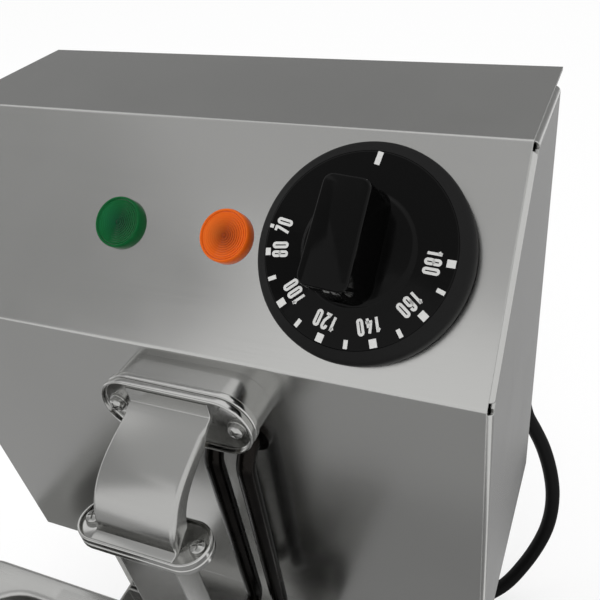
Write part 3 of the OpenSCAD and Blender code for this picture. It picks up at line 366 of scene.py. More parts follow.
def rings(loops, closed=False, caps=True):
    """Points and faces of a skin over loops of the same length."""
    n = len(loops[0])
    points = [p for loop in loops for p in loop]
    faces = []
    for i in range(len(loops) if closed else len(loops) - 1):
        a, b = i * n, ((i + 1) % len(loops)) * n
        faces += [(a + k, a + (k + 1) % n, b + (k + 1) % n, b + k) for k in range(n)]
    if caps and not closed:
        faces.append(tuple(range(n - 1, -1, -1)))
        faces.append(tuple((len(loops) - 1) * n + k for k in range(n)))
    return points, faces


def lathe(profile, steps=64, closed=False):
    """Skin turned round Z from (radius, height) pairs; a radius of 0 or a closed ring of pairs
    shuts it."""
    turn = [2 * math.pi * k / steps for k in range(steps)]
    loops = [[(r * math.cos(a), r * math.sin(a), h) for a in turn] for r, h in profile]
    return rings(loops, closed, caps=False)


def quarter(steps):
    """Angles from 0 to 90 degrees, in radians."""
    return [math.pi / 2 * k / steps for k in range(steps + 1)]


def arc(centre, radius, start, end, steps=6):
    cx, cy = centre
    return [
        (
            cx + radius * math.cos(math.radians(start + (end - start) * k / steps)),
            cy + radius * math.sin(math.radians(start + (end - start) * k / steps)),
        )
        for k in range(steps + 1)
    ]


def join(parts):
    points, faces = [], []
    for more_points, more_faces in parts:
        base = len(points)
        points += more_points
        faces += [tuple(base + i for i in f) for f in more_faces]
    return points, faces


def moved(part, place):
    return [tuple(place @ Vector(p)) for p in part[0]], part[1]


def box(x0, x1, y0, y1, z0, z1):
    points = [(x, y, z) for z in (z0, z1) for x, y in ((x0, y0), (x1, y0), (x1, y1), (x0, y1))]
    return rings([points[:4], points[4:]])


def extrude_x(outline, x0, x1):
    return rings([[(x0, y, z) for y, z in outline], [(x1, y, z) for y, z in outline]])


def tube(path, radius, sides=20):
    """Round tube along 3-D points, with frames carried along without twist."""
    path = [Vector(p) for p in path]
    last = len(path) - 1
    ways = [(path[min(i + 1, last)] - path[max(i - 1, 0)]).normalized() for i in range(last + 1)]
    up = Vector((0, 0, 1)) if abs(ways[0].z) < 0.9 else Vector((1, 0, 0))
    loops = []
    for p, way in zip(path, ways):
        up = (up - up.dot(way) * way).normalized()
        side = way.cross(up)
        loops.append(
            [
                tuple(p + radius * (math.cos(a) * up + math.sin(a) * side))
                for a in (2 * math.pi * k / sides for k in range(sides))
            ]
        )
    return rings(loops)


def fillet_path(corners, radius, steps=8):
    """Path through 3-D corners, each rounded by an arc."""
    corners = [Vector(c) for c in corners]
    path = [corners[0]]
    for a, b, c in zip(corners, corners[1:], corners[2:]):
        u, v = (a - b).normalized(), (c - b).normalized()
        half = u.angle(v) / 2
        centre = b + (u + v).normalized() * radius / math.sin(half)
        start = (b + u * radius / math.tan(half) - centre).normalized()
        for k in range(steps + 1):
            turn = (math.pi - 2 * half) * k / steps
            path.append(centre + radius * (math.cos(turn) * start - math.sin(turn) * u))
    return path + [corners[-1]]


def smooth_path(points, step):
    """Dense points along a Catmull-Rom curve."""
    points = [Vector(p) for p in points]
    ends = [2 * points[0] - points[1]] + points + [2 * points[-1] - points[-2]]
    path = []
    for a, b, c, d in zip(ends, ends[1:], ends[2:], ends[3:]):
        count = max(2, round((c - b).length / step))
        for k in range(count):
            t = k / count
            path.append(
                0.5 * ((2 * b) + (c - a) * t + (2 * a - 5 * b + 4 * c - d) * t**2
                       + (3 * b - a - 3 * c + d) * t**3)
            )
    return path + [points[-1]]


def inset_point(outline, i, t):
    """Corner of an outline moved inwards by t along its mitre."""
    n = len(outline)
    a, b, c = (Vector(outline[j % n]) for j in (i - 1, i, i + 1))
    m = Vector(((b - a).y, -(b - a).x)).normalized()
    w = Vector(((c - b).y, -(c - b).x)).normalized()
    return b + t * (m + w) / (1 + m.dot(w))


def inset(outline, t):
    """Outline moved inwards by t, corner by corner."""
    return [tuple(inset_point(outline, i, t)) for i in range(len(outline))]


def stadium(straight, radius, steps=16):
    """Oval outline in X and Y with straight long sides."""
    half = straight / 2
    return arc((half, 0), radius, -90, 90, steps) + arc((-half, 0), radius, 90, 270, steps)


def rounded_rect(w, d, r, steps=8):
    x, y = w / 2 - r, d / 2 - r
    return (
        arc((x, y), r, 0, 90, steps) + arc((-x, y), r, 90, 180, steps)
        + arc((-x, -y), r, 180, 270, steps) + arc((x, -y), r, 270, 360, steps)
    )


# ------------------------------------------------------------------ stage

# place in mm and the three axes; focal length, centre and frame in pixels
CAMERA_AT = (139.296, -19.378, 474.496)
CAMERA_RIGHT = (0.93532, 0.34310, -0.08633)
CAMERA_DOWN = (0.15331, -0.61296, -0.77510)
CAMERA_AHEAD = (-0.31885, 0.71174, -0.62591)
FOCAL_PX, CENTRE_PX, FRAME_PX = 694.13, (363.07, 325.27), 600.0


def make_camera():
    data = bpy.data.cameras.new("camera")
    data.sensor_width = 36.0
    data.lens = 36.0 * FOCAL_PX / FRAME_PX
    data.shift_x = (FRAME_PX / 2 - CENTRE_PX[0]) / FRAME_PX
    data.shift_y = (CENTRE_PX[1] - FRAME_PX / 2) / FRAME_PX
    data.clip_start, data.clip_end = 0.01, 50.0
    camera = bpy.data.objects.new("camera", data)
    up, back = (tuple(-c for c in axis) for axis in (CAMERA_DOWN, CAMERA_AHEAD))
    axes = Matrix((CAMERA_RIGHT, up, back)).transposed()
    camera.matrix_world = Matrix.Translation([c * MM for c in CAMERA_AT]) @ axes.to_4x4()
    bpy.context.scene.collection.objects.link(camera)
    bpy.context.scene.camera = camera


def plainly_seen(tree):
    """One for rays of the camera, through glass and in reflections; zero for the object's light."""
    ray = add(tree, "ShaderNodeLightPath")
    seen = add(
        tree, "ShaderNodeMath",
        {0: ray.outputs["Is Camera Ray"], 1: ray.outputs["Is Transmission Ray"]},
        operation="MAXIMUM",
    )
    seen = add(
        tree, "ShaderNodeMath", {0: seen.outputs[0], 1: ray.outputs["Is Glossy Ray"]},
        operation="MAXIMUM",
    )
    return seen.outputs[0]


def make_world(look):
    world = bpy.data.worlds.new("studio")
    bpy.context.scene.world = world
    world.use_nodes = True
    tree = world.node_tree
    tree.nodes.clear()
    seen = plainly_seen(tree)
    lit = add(tree, "ShaderNodeBackground", Color=srgb("FFFFFF"), Strength=look.ambient)
    white = add(tree, "ShaderNodeBackground", Color=srgb("FFFFFF"), Strength=1.0)
    mix = add(tree, "ShaderNodeMixShader", {0: seen, 1: lit.outputs[0], 2: white.outputs[0]})
    add(tree, "ShaderNodeOutputWorld", {"Surface": mix.outputs[0]})


def area_lamp(name, at, aim, size, watts):
    data = bpy.data.lights.new(name, "AREA")
    data.shape = "RECTANGLE"
    data.size, data.size_y = size
    data.energy = watts
    lamp = bpy.data.objects.new(name, data)
    lamp.location = at
    lamp.rotation_euler = (Vector(aim) - Vector(at)).to_track_quat("-Z", "Y").to_euler()
    lamp.visible_glossy = False
    bpy.context.scene.collection.objects.link(lamp)


def card(name, centre, facing, size, colour):
    """Flat grey sheet that glows and that only reflections see: a painted reflection in the metal,
    which lights nothing and casts no shadow.
    """
    mesh = flat_sheet(name, size[0] / 2, size[1] / 2)
    material = bpy.data.materials.new(name)
    material.use_nodes = True
    tree = material.node_tree
    tree.nodes.clear()
    # the sheet glows in its grey: a painted reflection, not a lamp
    glow = add(tree, "ShaderNodeEmission", Color=srgb(colour), Strength=1.0)
    add(tree, "ShaderNodeOutputMaterial", {"Surface": glow.outputs[0]})
    mesh.materials.append(material)
    reflection_sheet = bpy.data.objects.new(name, mesh)
    reflection_sheet.location = centre
    reflection_sheet.rotation_euler = Vector(facing).to_track_quat("Z", "Y").to_euler()
    reflection_sheet.visible_camera = False
    reflection_sheet.visible_diffuse = False
    reflection_sheet.visible_shadow = False
    reflection_sheet.visible_transmission = False
    bpy.context.scene.collection.objects.link(reflection_sheet)


FLOOR_HALF, FLOOR_DROP = 6.0, 0.0002  # metres
FLOOR_WHITE = 0.65  # share of plain white in the table top as seen; the rest keeps the shadow


def flat_sheet(name, w, h):
    """One face in X and Y, from its half sizes in metres."""
    mesh = bpy.data.meshes.new(name)
    mesh.from_pydata([(-w, -h, 0), (w, -h, 0), (w, h, 0), (-w, h, 0)], [], [(0, 1, 2, 3)])
    return mesh


def make_floor():
    mesh = flat_sheet("table_top", FLOOR_HALF, FLOOR_HALF)
    material, tree, bsdf = new_material(
        "table_top_white", Base_Color=srgb("FAFAFA"), Roughness=0.9, Specular_IOR_Level=0.0
    )
    output = bsdf.outputs[0].links[0].to_node
    seen = plainly_seen(tree)
    share = add(tree, "ShaderNodeMath", {0: seen}, operation="MULTIPLY")
    share.inputs[1].default_value = FLOOR_WHITE
    white = add(tree, "ShaderNodeEmission", Color=srgb("FFFFFF"), Strength=1.0)
    mix = add(
        tree, "ShaderNodeMixShader",
        {0: share.outputs[0], 1: bsdf.outputs[0], 2: white.outputs[0]},
    )
    tree.links.new(mix.outputs[0], output.inputs["Surface"])
    mesh.materials.append(material)
    floor = bpy.data.objects.new("table_top", mesh)
    floor.location.z = -FLOOR_DROP
    bpy.context.scene.collection.objects.link(floor)


# glowing grey sheets that paint the reflections in the metal and that only reflections see: name,
# centre and facing, width and height in metres, grey
PAINTED_REFLECTIONS = (
    ("reflection_card_rear", (-0.7, 2.2, 1.2), (0.3, -1.0, -0.35), (5.0, 2.2), "969696"),
    ("reflection_card_left", (-2.16, -0.82, 1.45), (1.0, 0.4, -0.5), (2.15, 2.1), "AEAEAE"),
    ("reflection_card_above", (-0.3, -0.5, 2.6), (0.1, 0.25, -1.0), (3.4, 2.0), "CACACA"),
    ("reflection_card_table_left", (-0.72, -0.1, 0.004), (0, 0, 1), (1.0, 1.6), "B4B4B4"),
    ("reflection_card_table_right", (0.31, 0.78, 0.004), (0, 0, 1), (0.5, 1.2), "A8A8A8"),
    # the four sheets just above the tank's rim stand where nothing is; they paint lighter and
    # darker patches of reflection on the head's lower face, the strap and the duct
    ("reflection_card_front", (0.065, -0.14, 0.156), (0, 0, 1), (0.27, 0.31), "A6A6A6"),
    ("reflection_card_right", (0.12, 0.06, 0.156), (0, 0, 1), (0.16, 0.09), "929292"),
    ("reflection_card_neck", (-0.077, 0.0775, 0.156), (0, 0, 1), (0.066, 0.055), "E0E0E0"),
    ("reflection_card_duct", (-0.14, -0.06, 0.157), (0, 0, 1), (0.05, 0.08), "F4F4F4"),
)


# ------------------------------------------------------------------ cord

GLAND_X, GLAND_Z, RELIEF_L = HEAD_W / 2 - 17, -LOWER_FACE_H + 26, 26.0
CORD_R = 4.7
COIL_AT = (HEAD_W / 2 - 93.5, HEAD_Y + 60)
COIL_R = 46.0
CORD_START = Vector((GLAND_X, HEAD_Y + HEAD_D + RELIEF_L, BEND_Z + GLAND_Z))
# the cord's way down from its relief to the table
DROP = [
    (0, 0, 0), (0, 12, -1), (0.5, 22, -5), (1, 29.5, -13), (1.5, 33, -24), (2, 34.5, -36),
    (2.8, 35, -48), (4.5, 35, -59), (7.4, 34.5, -69), (12, 34, -77.5), (19.5, 32, -92.3),
    (26, 29, -111.5), (29.7, 25, -130.7), (29.7, 20, -151.1), (25.9, 13, -167.8),
    (18, 3, -184), (7, -9, -197), (-8, -21, -204),
]
COIL_END = Vector((COIL_AT[0], COIL_AT[1] - COIL_R - CORD_R, 3 * CORD_R))
PLUG_R, PLUG_L, PLUG_CONE = 18.0, 34.0, 22.0
# from the coil's end to the plug
TAIL = [
    (0, 0, 0), (-18, 1.5, -1), (-36, 6, -5), (-52, 11, -5.5), (-68, 14.5, -1),
    (-82, 15.5, PLUG_R - 3 * CORD_R),
]


# degrees round the coil: where the cord meets it, where it steps in, up and out, and for how long
COIL_FIRST, LANE_IN, LANE_UP, LANE_OUT, LANE_EASE = 16.0, 320, 640, 960, 40.0
COIL_STEP, COIL_POINTS = 10.0, 119


def lane(turn):
    """Radius and height of the cord's centre after a turn in degrees round the coil."""
    def ease(start):
        t = min(1.0, max(0.0, (turn - start) / LANE_EASE))
        return t * t * (3 - 2 * t)

    radius = COIL_R + CORD_R - 2 * CORD_R * ease(LANE_IN) + 2 * CORD_R * ease(LANE_OUT)
    return radius, CORD_R + 2 * CORD_R * ease(LANE_UP)


def cord_route():
    cx, cy = COIL_AT
    drop = [CORD_START + Vector(p) for p in DROP]
    drop += [Vector((cx + 52, HEAD_Y + 106, CORD_R)), Vector((cx + 50, HEAD_Y + 88, CORD_R))]
    coil = []
    for k in range(COIL_POINTS):
        turn = COIL_STEP * k
        radius, height = lane(turn)
        a = math.radians(COIL_FIRST - turn)
        coil.append(Vector((cx + radius * math.cos(a), cy + radius * math.sin(a), height)))
    tail = [COIL_END + Vector(p) for p in TAIL]
    return smooth_path(drop + coil + tail, 4.0)


def make_cord():
    route = cord_route()
    points, faces = tube(route, CORD_R, 16)
    flex = solid(
        "mains_cord", points, faces, "flex", replaces=("cord_tube", "cord_coil", "cord_tail"),
        slot="rubber", sharp=60,
    )
    # ribbed relief: hexagon nut, then a cone with rings that lets the cord flex
    place = HEAD @ Matrix.Translation((GLAND_X, HEAD_D, GLAND_Z))
    place = place @ Matrix.Rotation(-math.pi / 2, 4, "X")
    cone = [(0, -6), (7, -6), (7, 0.0), (8.2, 6)]
    for k in range(5):
        h = 6.5 + k * 3.6
        r = 8.0 - k * 0.4
        cone += [(r, h), (r, h + 1.8), (r - 1.1, h + 2.3), (r - 1.1, h + 3.2)]
    cone += [(6.0, 25.0), (5.5, RELIEF_L - 0.02), (0, RELIEF_L - 0.02)]
    hexagon = [math.radians(60 * k) for k in range(6)]
    nut = rings([[(9.6 * math.cos(a), 9.6 * math.sin(a), h) for a in hexagon] for h in (0.02, 5.9)])
    parts = join([lathe(cone, 40), nut])
    relief = solid(
        "cord_relief", *parts, "rubber", place, replaces=("strain_relief",), slot="rubber", sharp=30
    )
    # round plug with a grip waist
    tip = COIL_END + Vector(TAIL[-1])
    place = Matrix.Translation(tip) @ Matrix.Rotation(-math.pi / 2, 4, "Y")
    r = PLUG_R - 0.1
    total = PLUG_L + PLUG_CONE
    body = [(0, total), (14.5, total), (17.0, total - 1.0), (r, total - 3.0), (r, total - 12)]
    body += arc_profile(r, total - 12, total - 26, 2.6)
    body += [(r - 0.6, total - 30), (13.5, PLUG_CONE - 2), (11.0, 12), (8.6, 6), (6.4, 1.0)]
    body += [(5.6, 0), (0, 0)]
    plug = solid(
        "mains_plug", *lathe(body, 56), "rubber", place, replaces=("plug_body",), slot="rubber",
        sharp=40,
    )
    pin = [(0, 0), (2.4, 0), (2.4, 16.5), (1.9, 18.3), (1.0, 18.9), (0, 18.9)]
    pins = [moved(lathe(pin, 24), Matrix.Translation((0, y, total))) for y in (-9.5, 9.5)]
    blades = solid(
        "plug_contacts", *join(pins), "screw", place, replaces=("plug_pins",), slot="plated_screw"
    )


def arc_profile(r, high, low, depth, steps=8):
    """Waist of a turned body: a shallow cosine dip between two heights."""
    return [
        (r - depth * math.sin(math.pi * k / steps) ** 2, high + (low - high) * k / steps)
        for k in range(1, steps + 1)
    ]


# ------------------------------------------------------------------ housing

HEAD_OUTLINE = [
    (0.0, -LOWER_FACE_H), (0.0, 0.0), (PANEL_RUN, PANEL_RUN), (HEAD_D, PANEL_RUN),
    (HEAD_D, -LOWER_FACE_H),
]
WRAP_X = HEAD_W / 2 - 1.5
LIP_X = HEAD_W / 2 - 7.5
SIDE_FLANGE, SIDE_DEPTH, SIDE_NOTCH = 5.5, 106.0, 2.1


def rounded_outline(outline, radii, steps=6):
    """Outline with its corners rounded, each by its own radius."""
    n = len(outline)
    points = []
    for i, r in enumerate(radii):
        a, b, c = (Vector(outline[j % n]) for j in (i - 1, i, i + 1))
        if r <= 0:
            points.append(tuple(b))
            continue
        u, v = (a - b).normalized(), (c - b).normalized()
        half = u.angle(v) / 2
        centre = b + (u + v).normalized() * r / math.sin(half)
        start = b + u * r / math.tan(half) - centre
        turn = math.pi - 2 * half
        sign = 1 if u.x * v.y - u.y * v.x < 0 else -1
        for k in range(steps + 1):
            t = sign * turn * k / steps
            points.append(
                (
                    centre.x + start.x * math.cos(t) - start.y * math.sin(t),
                    centre.y + start.x * math.sin(t) + start.y * math.cos(t),
                )
            )
    return points


def make_wrap(look):
    """Sheet bent at the panel's two edges, with a lip down behind the rear cover."""
    bend = look.bend_radius
    outer = rounded_outline(HEAD_OUTLINE, (0, bend, bend, 0, 0))[:-1]
    back = rounded_outline(inset(HEAD_OUTLINE, SHEET), (0, bend - SHEET, bend - SHEET, 0, 0))[1:-2]
    outline = outer + [(HEAD_D, PANEL_RUN - SHEET)] + back[::-1] + [(SHEET, -LOWER_FACE_H)]
    y0, y1 = HEAD_D - 2 * SHEET - 0.1, HEAD_D - SHEET - 0.1
    z0, z1 = PANEL_RUN - SHEET - 14, PANEL_RUN - SHEET - 0.01
    lip = [(y0, z0), (y0, z1), (y1, z1), (y1, z0)]
    sheets = [extrude_x(outline, -WRAP_X, WRAP_X), extrude_x(lip, -LIP_X, LIP_X)]
    part = moved(join(sheets), HEAD)
    solid(
        "control_housing", *part, "wrap", replaces=("head_wrap",), slot="satin_stainless", sharp=20
    )


def side_outline():
    """Outline of a side sheet, which lies under the bent sheet and stops short of its rear edge."""
    p = inset(HEAD_OUTLINE, SHEET + 0.1)
    corners = [
        (p[0][0], -LOWER_FACE_H), p[1], p[2], (SIDE_DEPTH, p[2][1]), (SIDE_DEPTH, -LOWER_FACE_H),
    ]
    return rounded_outline(corners, (0, 0, 0, 2.0, 0))


def side_panel(side, look):
    """Side sheet with a flange folded in all round; the folds stay open at the two bends."""
    name = "left" if side < 0 else "right"
    r = look.fold_radius
    x_out = side * HEAD_W / 2
    x_in = side * (HEAD_W / 2 - SIDE_FLANGE)
    # position across the head and inset from the outline: round the fold, in, and back inside
    section = [
        (x_out - side * (r - r * math.sin(a)), r - r * math.cos(a)) for a in reversed(quarter(6))
    ]
    section += [(x_in, 0.0), (x_in, SHEET), (x_out - side * r, SHEET), (x_out - side * SHEET, r)]
    outline = side_outline()
    face_loop = inset(outline, r)
    parts = [rings([[(x, y, z) for y, z in face_loop] for x in (x_out, x_out - side * SHEET)])]
    n = len(outline)
    for i in range(n):
        a, b = Vector(outline[i]), Vector(outline[(i + 1) % n])
        along = (b - a).normalized()
        loops = []
        for corner, way in ((i, 1), ((i + 1) % n, -1)):
            trim = SIDE_NOTCH if corner in (1, 2) else 0.0
            loop = []
            for x, depth in section:
                # the fold follows the mitre at a corner, so that folds of both edges meet
                p = inset_point(outline, corner, depth) + along * way * trim
                loop.append((x, p.x, p.y))
            loops.append(loop)
        parts.append(rings(loops))
    part = moved(join(parts), HEAD)
    solid(
        f"{name}_cheek", *part, "side", replaces=(f"side_panel_{name}",), slot="satin_stainless",
        sharp=28,
    )


# ------------------------------------------------------------------ knob

DIAL_H, KNOB_GAP = 10.2, 1.5
SCALE_START, SCALE_STEP = 188.3, 1.70  # degrees round the dial, and per degree of temperature
STROKE, INK_T = 0.86, 0.06  # the ink is drawn thicker than the real one so that it shows
DIGIT_H, DIGIT_W, DIGIT_GAP = 5.3, 2.1, 0.62


def stroke_digit(mark):
    """Centre lines of a condensed numeral in a box DIGIT_W wide and DIGIT_H high."""
    w, h = DIGIT_W - STROKE, DIGIT_H - STROKE
    r = w / 2

    def bowl(cy, half, start, end, steps=14):
        pts = []
        for k in range(steps + 1):
            a = math.radians(start + (end - start) * k / steps)
            lift = half if math.sin(a) > -1e-9 else -half
            pts.append((r + r * math.cos(a), cy + lift + r * math.sin(a)))
        return pts

    if mark == "0":
        return [bowl(h / 2, h / 2 - r, 0, 360, 36)]
    if mark == "1":
        stem = r * 1.5
        return [[(stem, 0), (stem, h)], [(stem, h), (r * 1.1, h - 0.75), (r * 0.4, h - 1.05)]]
    if mark == "2":
        top = bowl(h - r, 0.0, 180, 0, 12)
        rest = [(w, h - r - 0.5), (w * 0.9, h * 0.5), (0.1, 0.35), (0, 0), (w, 0)]
        return [[(0, h - r - 0.5)] + top + rest]
    if mark == "4":
        bar = [(w * 0.62, h), (0, h * 0.30), (0, h * 0.25), (w + 0.35, h * 0.25)]
        return [bar, [(w * 0.75, h * 0.62), (w * 0.75, 0)]]
    if mark == "6":
        lower = bowl(h * 0.31, h * 0.31 - r, 0, 360, 30)
        upper = [(w, h * 0.76)] + bowl(h - r, 0.0, 0, 180, 12) + [(0, h * 0.5), (0, h * 0.3)]
        return [lower, upper]
    if mark == "7":
        return [[(0, h), (w, h), (w, h * 0.82), (w * 0.35, 0)]]
    low, high = h * 0.27, h * 0.76
    # what is left is an 8
    return [
        bowl(low, max(0.02, low - r), 0, 360, 30), bowl(high, max(0.02, h - high - r), 0, 360, 30),
    ]


def ribbon(line, width, h0, h1):
    """Flat raised stroke along a 2-D line with square ends."""
    line = [Vector(p) for p in line]
    closed = (line[0] - line[-1]).length < 1e-4 and len(line) > 3
    if closed:
        line = line[:-1]
    left, right = [], []
    n = len(line)
    for i, p in enumerate(line):
        before = line[i - 1] if (closed or i) else p
        after = line[(i + 1) % n] if (closed or i < n - 1) else p
        u = (p - before).normalized() if p != before else (after - p).normalized()
        v = (after - p).normalized() if p != after else u
        way = (u + v).normalized()
        stretch = min(1.6, 1 / max(0.3, way.dot(u)))
        side = Vector((-way.y, way.x)) * width / 2 * stretch
        left.append(p + side)
        right.append(p - side)
    loops = [
        [(a.x, a.y, h0), (a.x, a.y, h1), (b.x, b.y, h1), (b.x, b.y, h0)]
        for a, b in zip(left, right)
    ]
    return rings(loops, closed=closed)


def numeral(text, radius, angle):
    """Number printed round the dial, its tops outwards."""
    widths = [DIGIT_W * (0.72 if c == "1" else 1.0) for c in text]
    total = sum(widths) + DIGIT_GAP * (len(text) - 1)
    x = -total / 2
    parts = []
    place = Matrix.Rotation(math.radians(angle - 90), 4, "Z") @ Matrix.Translation((0, radius, 0))
    for mark, width in zip(text, widths):
        shift = x + STROKE / 2 - (DIGIT_W * 0.28 if mark == "1" else 0)
        for line in stroke_digit(mark):
            line = [(px + shift, py - (DIGIT_H - STROKE) / 2) for px, py in line]
            parts.append(moved(ribbon(line, STROKE, 0.0, INK_T), place))
        x += width + DIGIT_GAP
    return parts


def scale_mark(angle, r0, r1, width, lean=0.0):
    """Bar of the scale between two radii, leaning from the radial line."""
    place = Matrix.Rotation(math.radians(angle - 90), 4, "Z")
    place = place @ Matrix.Translation((0, (r0 + r1) / 2, 0))
    place = place @ Matrix.Rotation(math.radians(lean), 4, "Z")
    half = (r1 - r0) / 2
    return moved(ribbon([(0, -half), (0, half)], width, 0.0, INK_T), place)


def make_knob(look):
    place = on_panel(KNOB_X)
    r = look.knob_diameter / 2
    ring = [
        (30.3, 9.95), (30.6, 9.7), (32.9, 8.35), (33.7, 7.7), (r - 0.25, 6.9), (r, 5.6),
        (r, 2.3), (r - 0.2, 1.7), (r - 0.6, KNOB_GAP), (32.0, KNOB_GAP), (32.0, 7.0), (30.3, 7.4),
    ]
    solid(
        "dial_skirt", *lathe(ring, 128, closed=True), "matt_black", place, body="knob",
        slot="black_phenolic", sharp=50,
    )
    face = [
        (0, 7.6), (30.28, 7.6), (30.28, 9.8), (30.0, 10.12), (29.6, DIAL_H), (18.6, DIAL_H),
        (18.1, 10.3), (17.5, 10.9), (17.0, 11.3), (16.2, 11.45), (9.0, 11.5), (0, 11.5),
    ]
    solid(
        "dial_face", *lathe(face, 128), "gloss_black", place, body="knob",
        replaces=("knob_dial",), slot="black_phenolic", sharp=40,
    )
    make_grip(place)
    parts = []
    for step in range(11):
        value = 80 + 10 * step
        angle = SCALE_START + SCALE_STEP * (value - 80)
        if value % 20 == 0:
            inner = 28.2 if value == 80 else 27.2
            parts.append(scale_mark(angle, inner, 29.85, 2.3))
            parts += numeral(str(value), 25.0 if value == 80 else 23.2, angle - 1.3)
        else:
            parts.append(scale_mark(angle, 27.1, 29.75, 1.3))
    parts.append(scale_mark(172.3, 28.7, 30.0, 1.15))
    parts += numeral("70", 25.5, 170.4)
    parts.append(scale_mark(87.3, 25.9, 29.95, 1.75, lean=-8.0))
    solid(
        "dial_print", *join(parts), "ink", on_panel(KNOB_X, h=DIAL_H), body="knob",
        slot="white_plastic", sharp=30,
    )


def make_grip(place):
    """Tall bar on the hub, wider at its foot, with soft edges round a flat face."""
    def outline(half_top, half_foot, front, back, corner, steps=7):
        y0, y1 = -back, front
        pts = []
        for cx, cy, start in (
            (half_top - corner, y1 - corner, 0), (-half_top + corner, y1 - corner, 90),
            (-half_foot + corner, y0 + corner, 180), (half_foot - corner, y0 + corner, 270),
        ):
            pts += arc((cx, cy), corner, start, start + 90, steps)
        return pts

    levels = [
        (11.3, 8.4, 9.2, 18.4, 16.9, 6.0), (12.2, 8.0, 8.9, 18.0, 16.6, 5.8),
        (14.5, 7.8, 8.5, 17.4, 16.2, 5.0), (20.0, 7.4, 8.0, 17.0, 15.9, 4.0),
        (27.9, 7.2, 7.7, 16.6, 15.5, 3.0), (28.7, 7.0, 7.5, 16.4, 15.3, 2.9),
        (29.0, 6.6, 7.1, 16.0, 14.9, 2.6),
    ]
    loops = [
        [(x, y, h) for x, y in outline(top, foot, front, back, corner)]
        for h, top, foot, front, back, corner in levels
    ]
    turned = place @ Matrix.Rotation(math.radians(-4.2), 4, "Z") @ Matrix.Translation((-0.9, 0, 0))
    solid(
        "dial_grip", *rings(loops), "gloss_black", turned, body="knob",
        replaces=("knob_grip",), slot="black_phenolic", sharp=60,
    )


# ------------------------------------------------------------------ lamps


def make_lenses():
    """Flat drum lenses with fine saw-tooth rings, a small centre cone and a narrow rim."""
    r = 9.0
    for tint, x in LAMP_X.items():
        face = [(0, 5.0), (0.35, 4.9), (0.7, 4.6)]
        for k in range(9):
            at = 0.8 + 0.78 * k
            face += [(at, 4.5), (at + 0.6, 4.85), (at + 0.74, 4.85)]
        profile = face + [
            (7.95, 4.5), (8.15, 5.1), (8.35, 5.25), (8.6, 5.2), (8.85, 4.9),
            (r, 4.4), (r, 0.9), (8.7, 0.3), (8.2, 0.02), (0, 0.02),
        ]
        lens = solid(
            f"{tint}_lens", *lathe(profile, 72), tint, on_panel(x), replaces=(f"{tint}_lamp_lens",),
            slot=f"{tint}_lens", sharp=35,
        )
        lens.visible_glossy = False


# ------------------------------------------------------------------ neck

DUCT_R, DUCT_L = 11.2, 10.0
PLATE_T, PLATE_GAP, DISH, LIP = 2.6, 0.2, 1.8, 0.9
UPPER_OVAL, UPPER_PITCH = (34.0, 12.0), 46.0
LOWER_OVAL, LOWER_PITCH = (31.4, 8.5), 40.0
LOWER_Y, LOWER_FLOOR = -44.0, -39.0


def oval_loop(straight, r, z):
    return [(x, y, z) for x, y in stadium(straight, r, 24)]


def dished_plate(oval, z0, dish, edge=0.5):
    """Oval pressed plate with soft edges, its open side up; a dish leaves a narrow rim."""
    straight, r_out = oval
    z1 = z0 + PLATE_T
    turn = quarter(5)
    low = [(r_out - edge + edge * math.sin(a), z0 + edge - edge * math.cos(a)) for a in turn]
    high = [(r_out - edge + edge * math.cos(a), z1 - edge + edge * math.sin(a)) for a in turn]
    path = [(0.05, z0)] + low + high
    if dish:
        inner, floor = r_out - LIP, z1 - dish
        path += [(inner + 0.25, z1), (inner + 0.08, z1 - 0.08), (inner, z1 - 0.25)]
        path += [(inner - 0.05, floor + 0.5), (inner - 0.2, floor + 0.15), (inner - 0.55, floor)]
        path += [(0.05, floor)]
    else:
        path += [(0.05, z1)]
    return rings([oval_loop(straight, r, z) for r, z in path])


HEAD_R, HEAD_H = 2.7, 2.3


def screw_head(washer, r=HEAD_R, h=HEAD_H):
    """Pan head, on a thin washer where that has a thickness."""
    side = h * 0.45
    profile = [(0, washer), (r, washer), (r, washer + side)]
    profile += [
        (r * math.cos(a), washer + side + (h - side) * math.sin(a)) for a in quarter(6)[1:-1]
    ]
    parts = [lathe(profile + [(0, washer + h)], 32)]
    if washer:
        rim = r + 0.65
        edge = [(rim, 0), (rim + 0.1, 0.12), (rim + 0.1, 0.45), (rim, 0.55)]
        parts.append(lathe([(0, 0)] + edge + [(0, 0.55)], 36))
    return join(parts)


def cut_cross(piece, centres, place, top, size=1.7, width=0.55, depth=1.1):
    """Cuts the cross recess of each screw head with one boolean."""
    parts = []
    for centre in centres:
        for turn in (20, 110):
            at = Matrix.Translation(centre) @ Matrix.Rotation(math.radians(turn), 4, "Z")
            parts.append(moved(box(-size, size, -width / 2, width / 2, top - depth, top + 1), at))
    points, faces = join(parts)
    mesh = bpy.data.meshes.new("recess")
    mesh.from_pydata([tuple(v * MM for v in p) for p in points], [], faces)
    work = bmesh.new()
    work.from_mesh(mesh)
    bmesh.ops.recalc_face_normals(work, faces=work.faces)
    work.to_mesh(mesh)
    work.free()
    cutter = bpy.data.objects.new("recess", mesh)
    bpy.context.scene.collection.objects.link(cutter)
    cutter.matrix_world = metres(place)
    cut = piece.modifiers.new("recess", "BOOLEAN")
    cut.operation, cut.solver, cut.object, cut.use_self = "DIFFERENCE", "EXACT", cutter, True
    bpy.context.view_layer.update()
    graph = bpy.context.evaluated_depsgraph_get()
    done = bpy.data.meshes.new_from_object(piece.evaluated_get(graph))
    piece.modifiers.clear()
    piece.data = done
    bpy.data.objects.remove(cutter)
    done.polygons.foreach_set("use_smooth", [True] * len(done.polygons))
    done.set_sharp_from_angle(angle=math.radians(35))


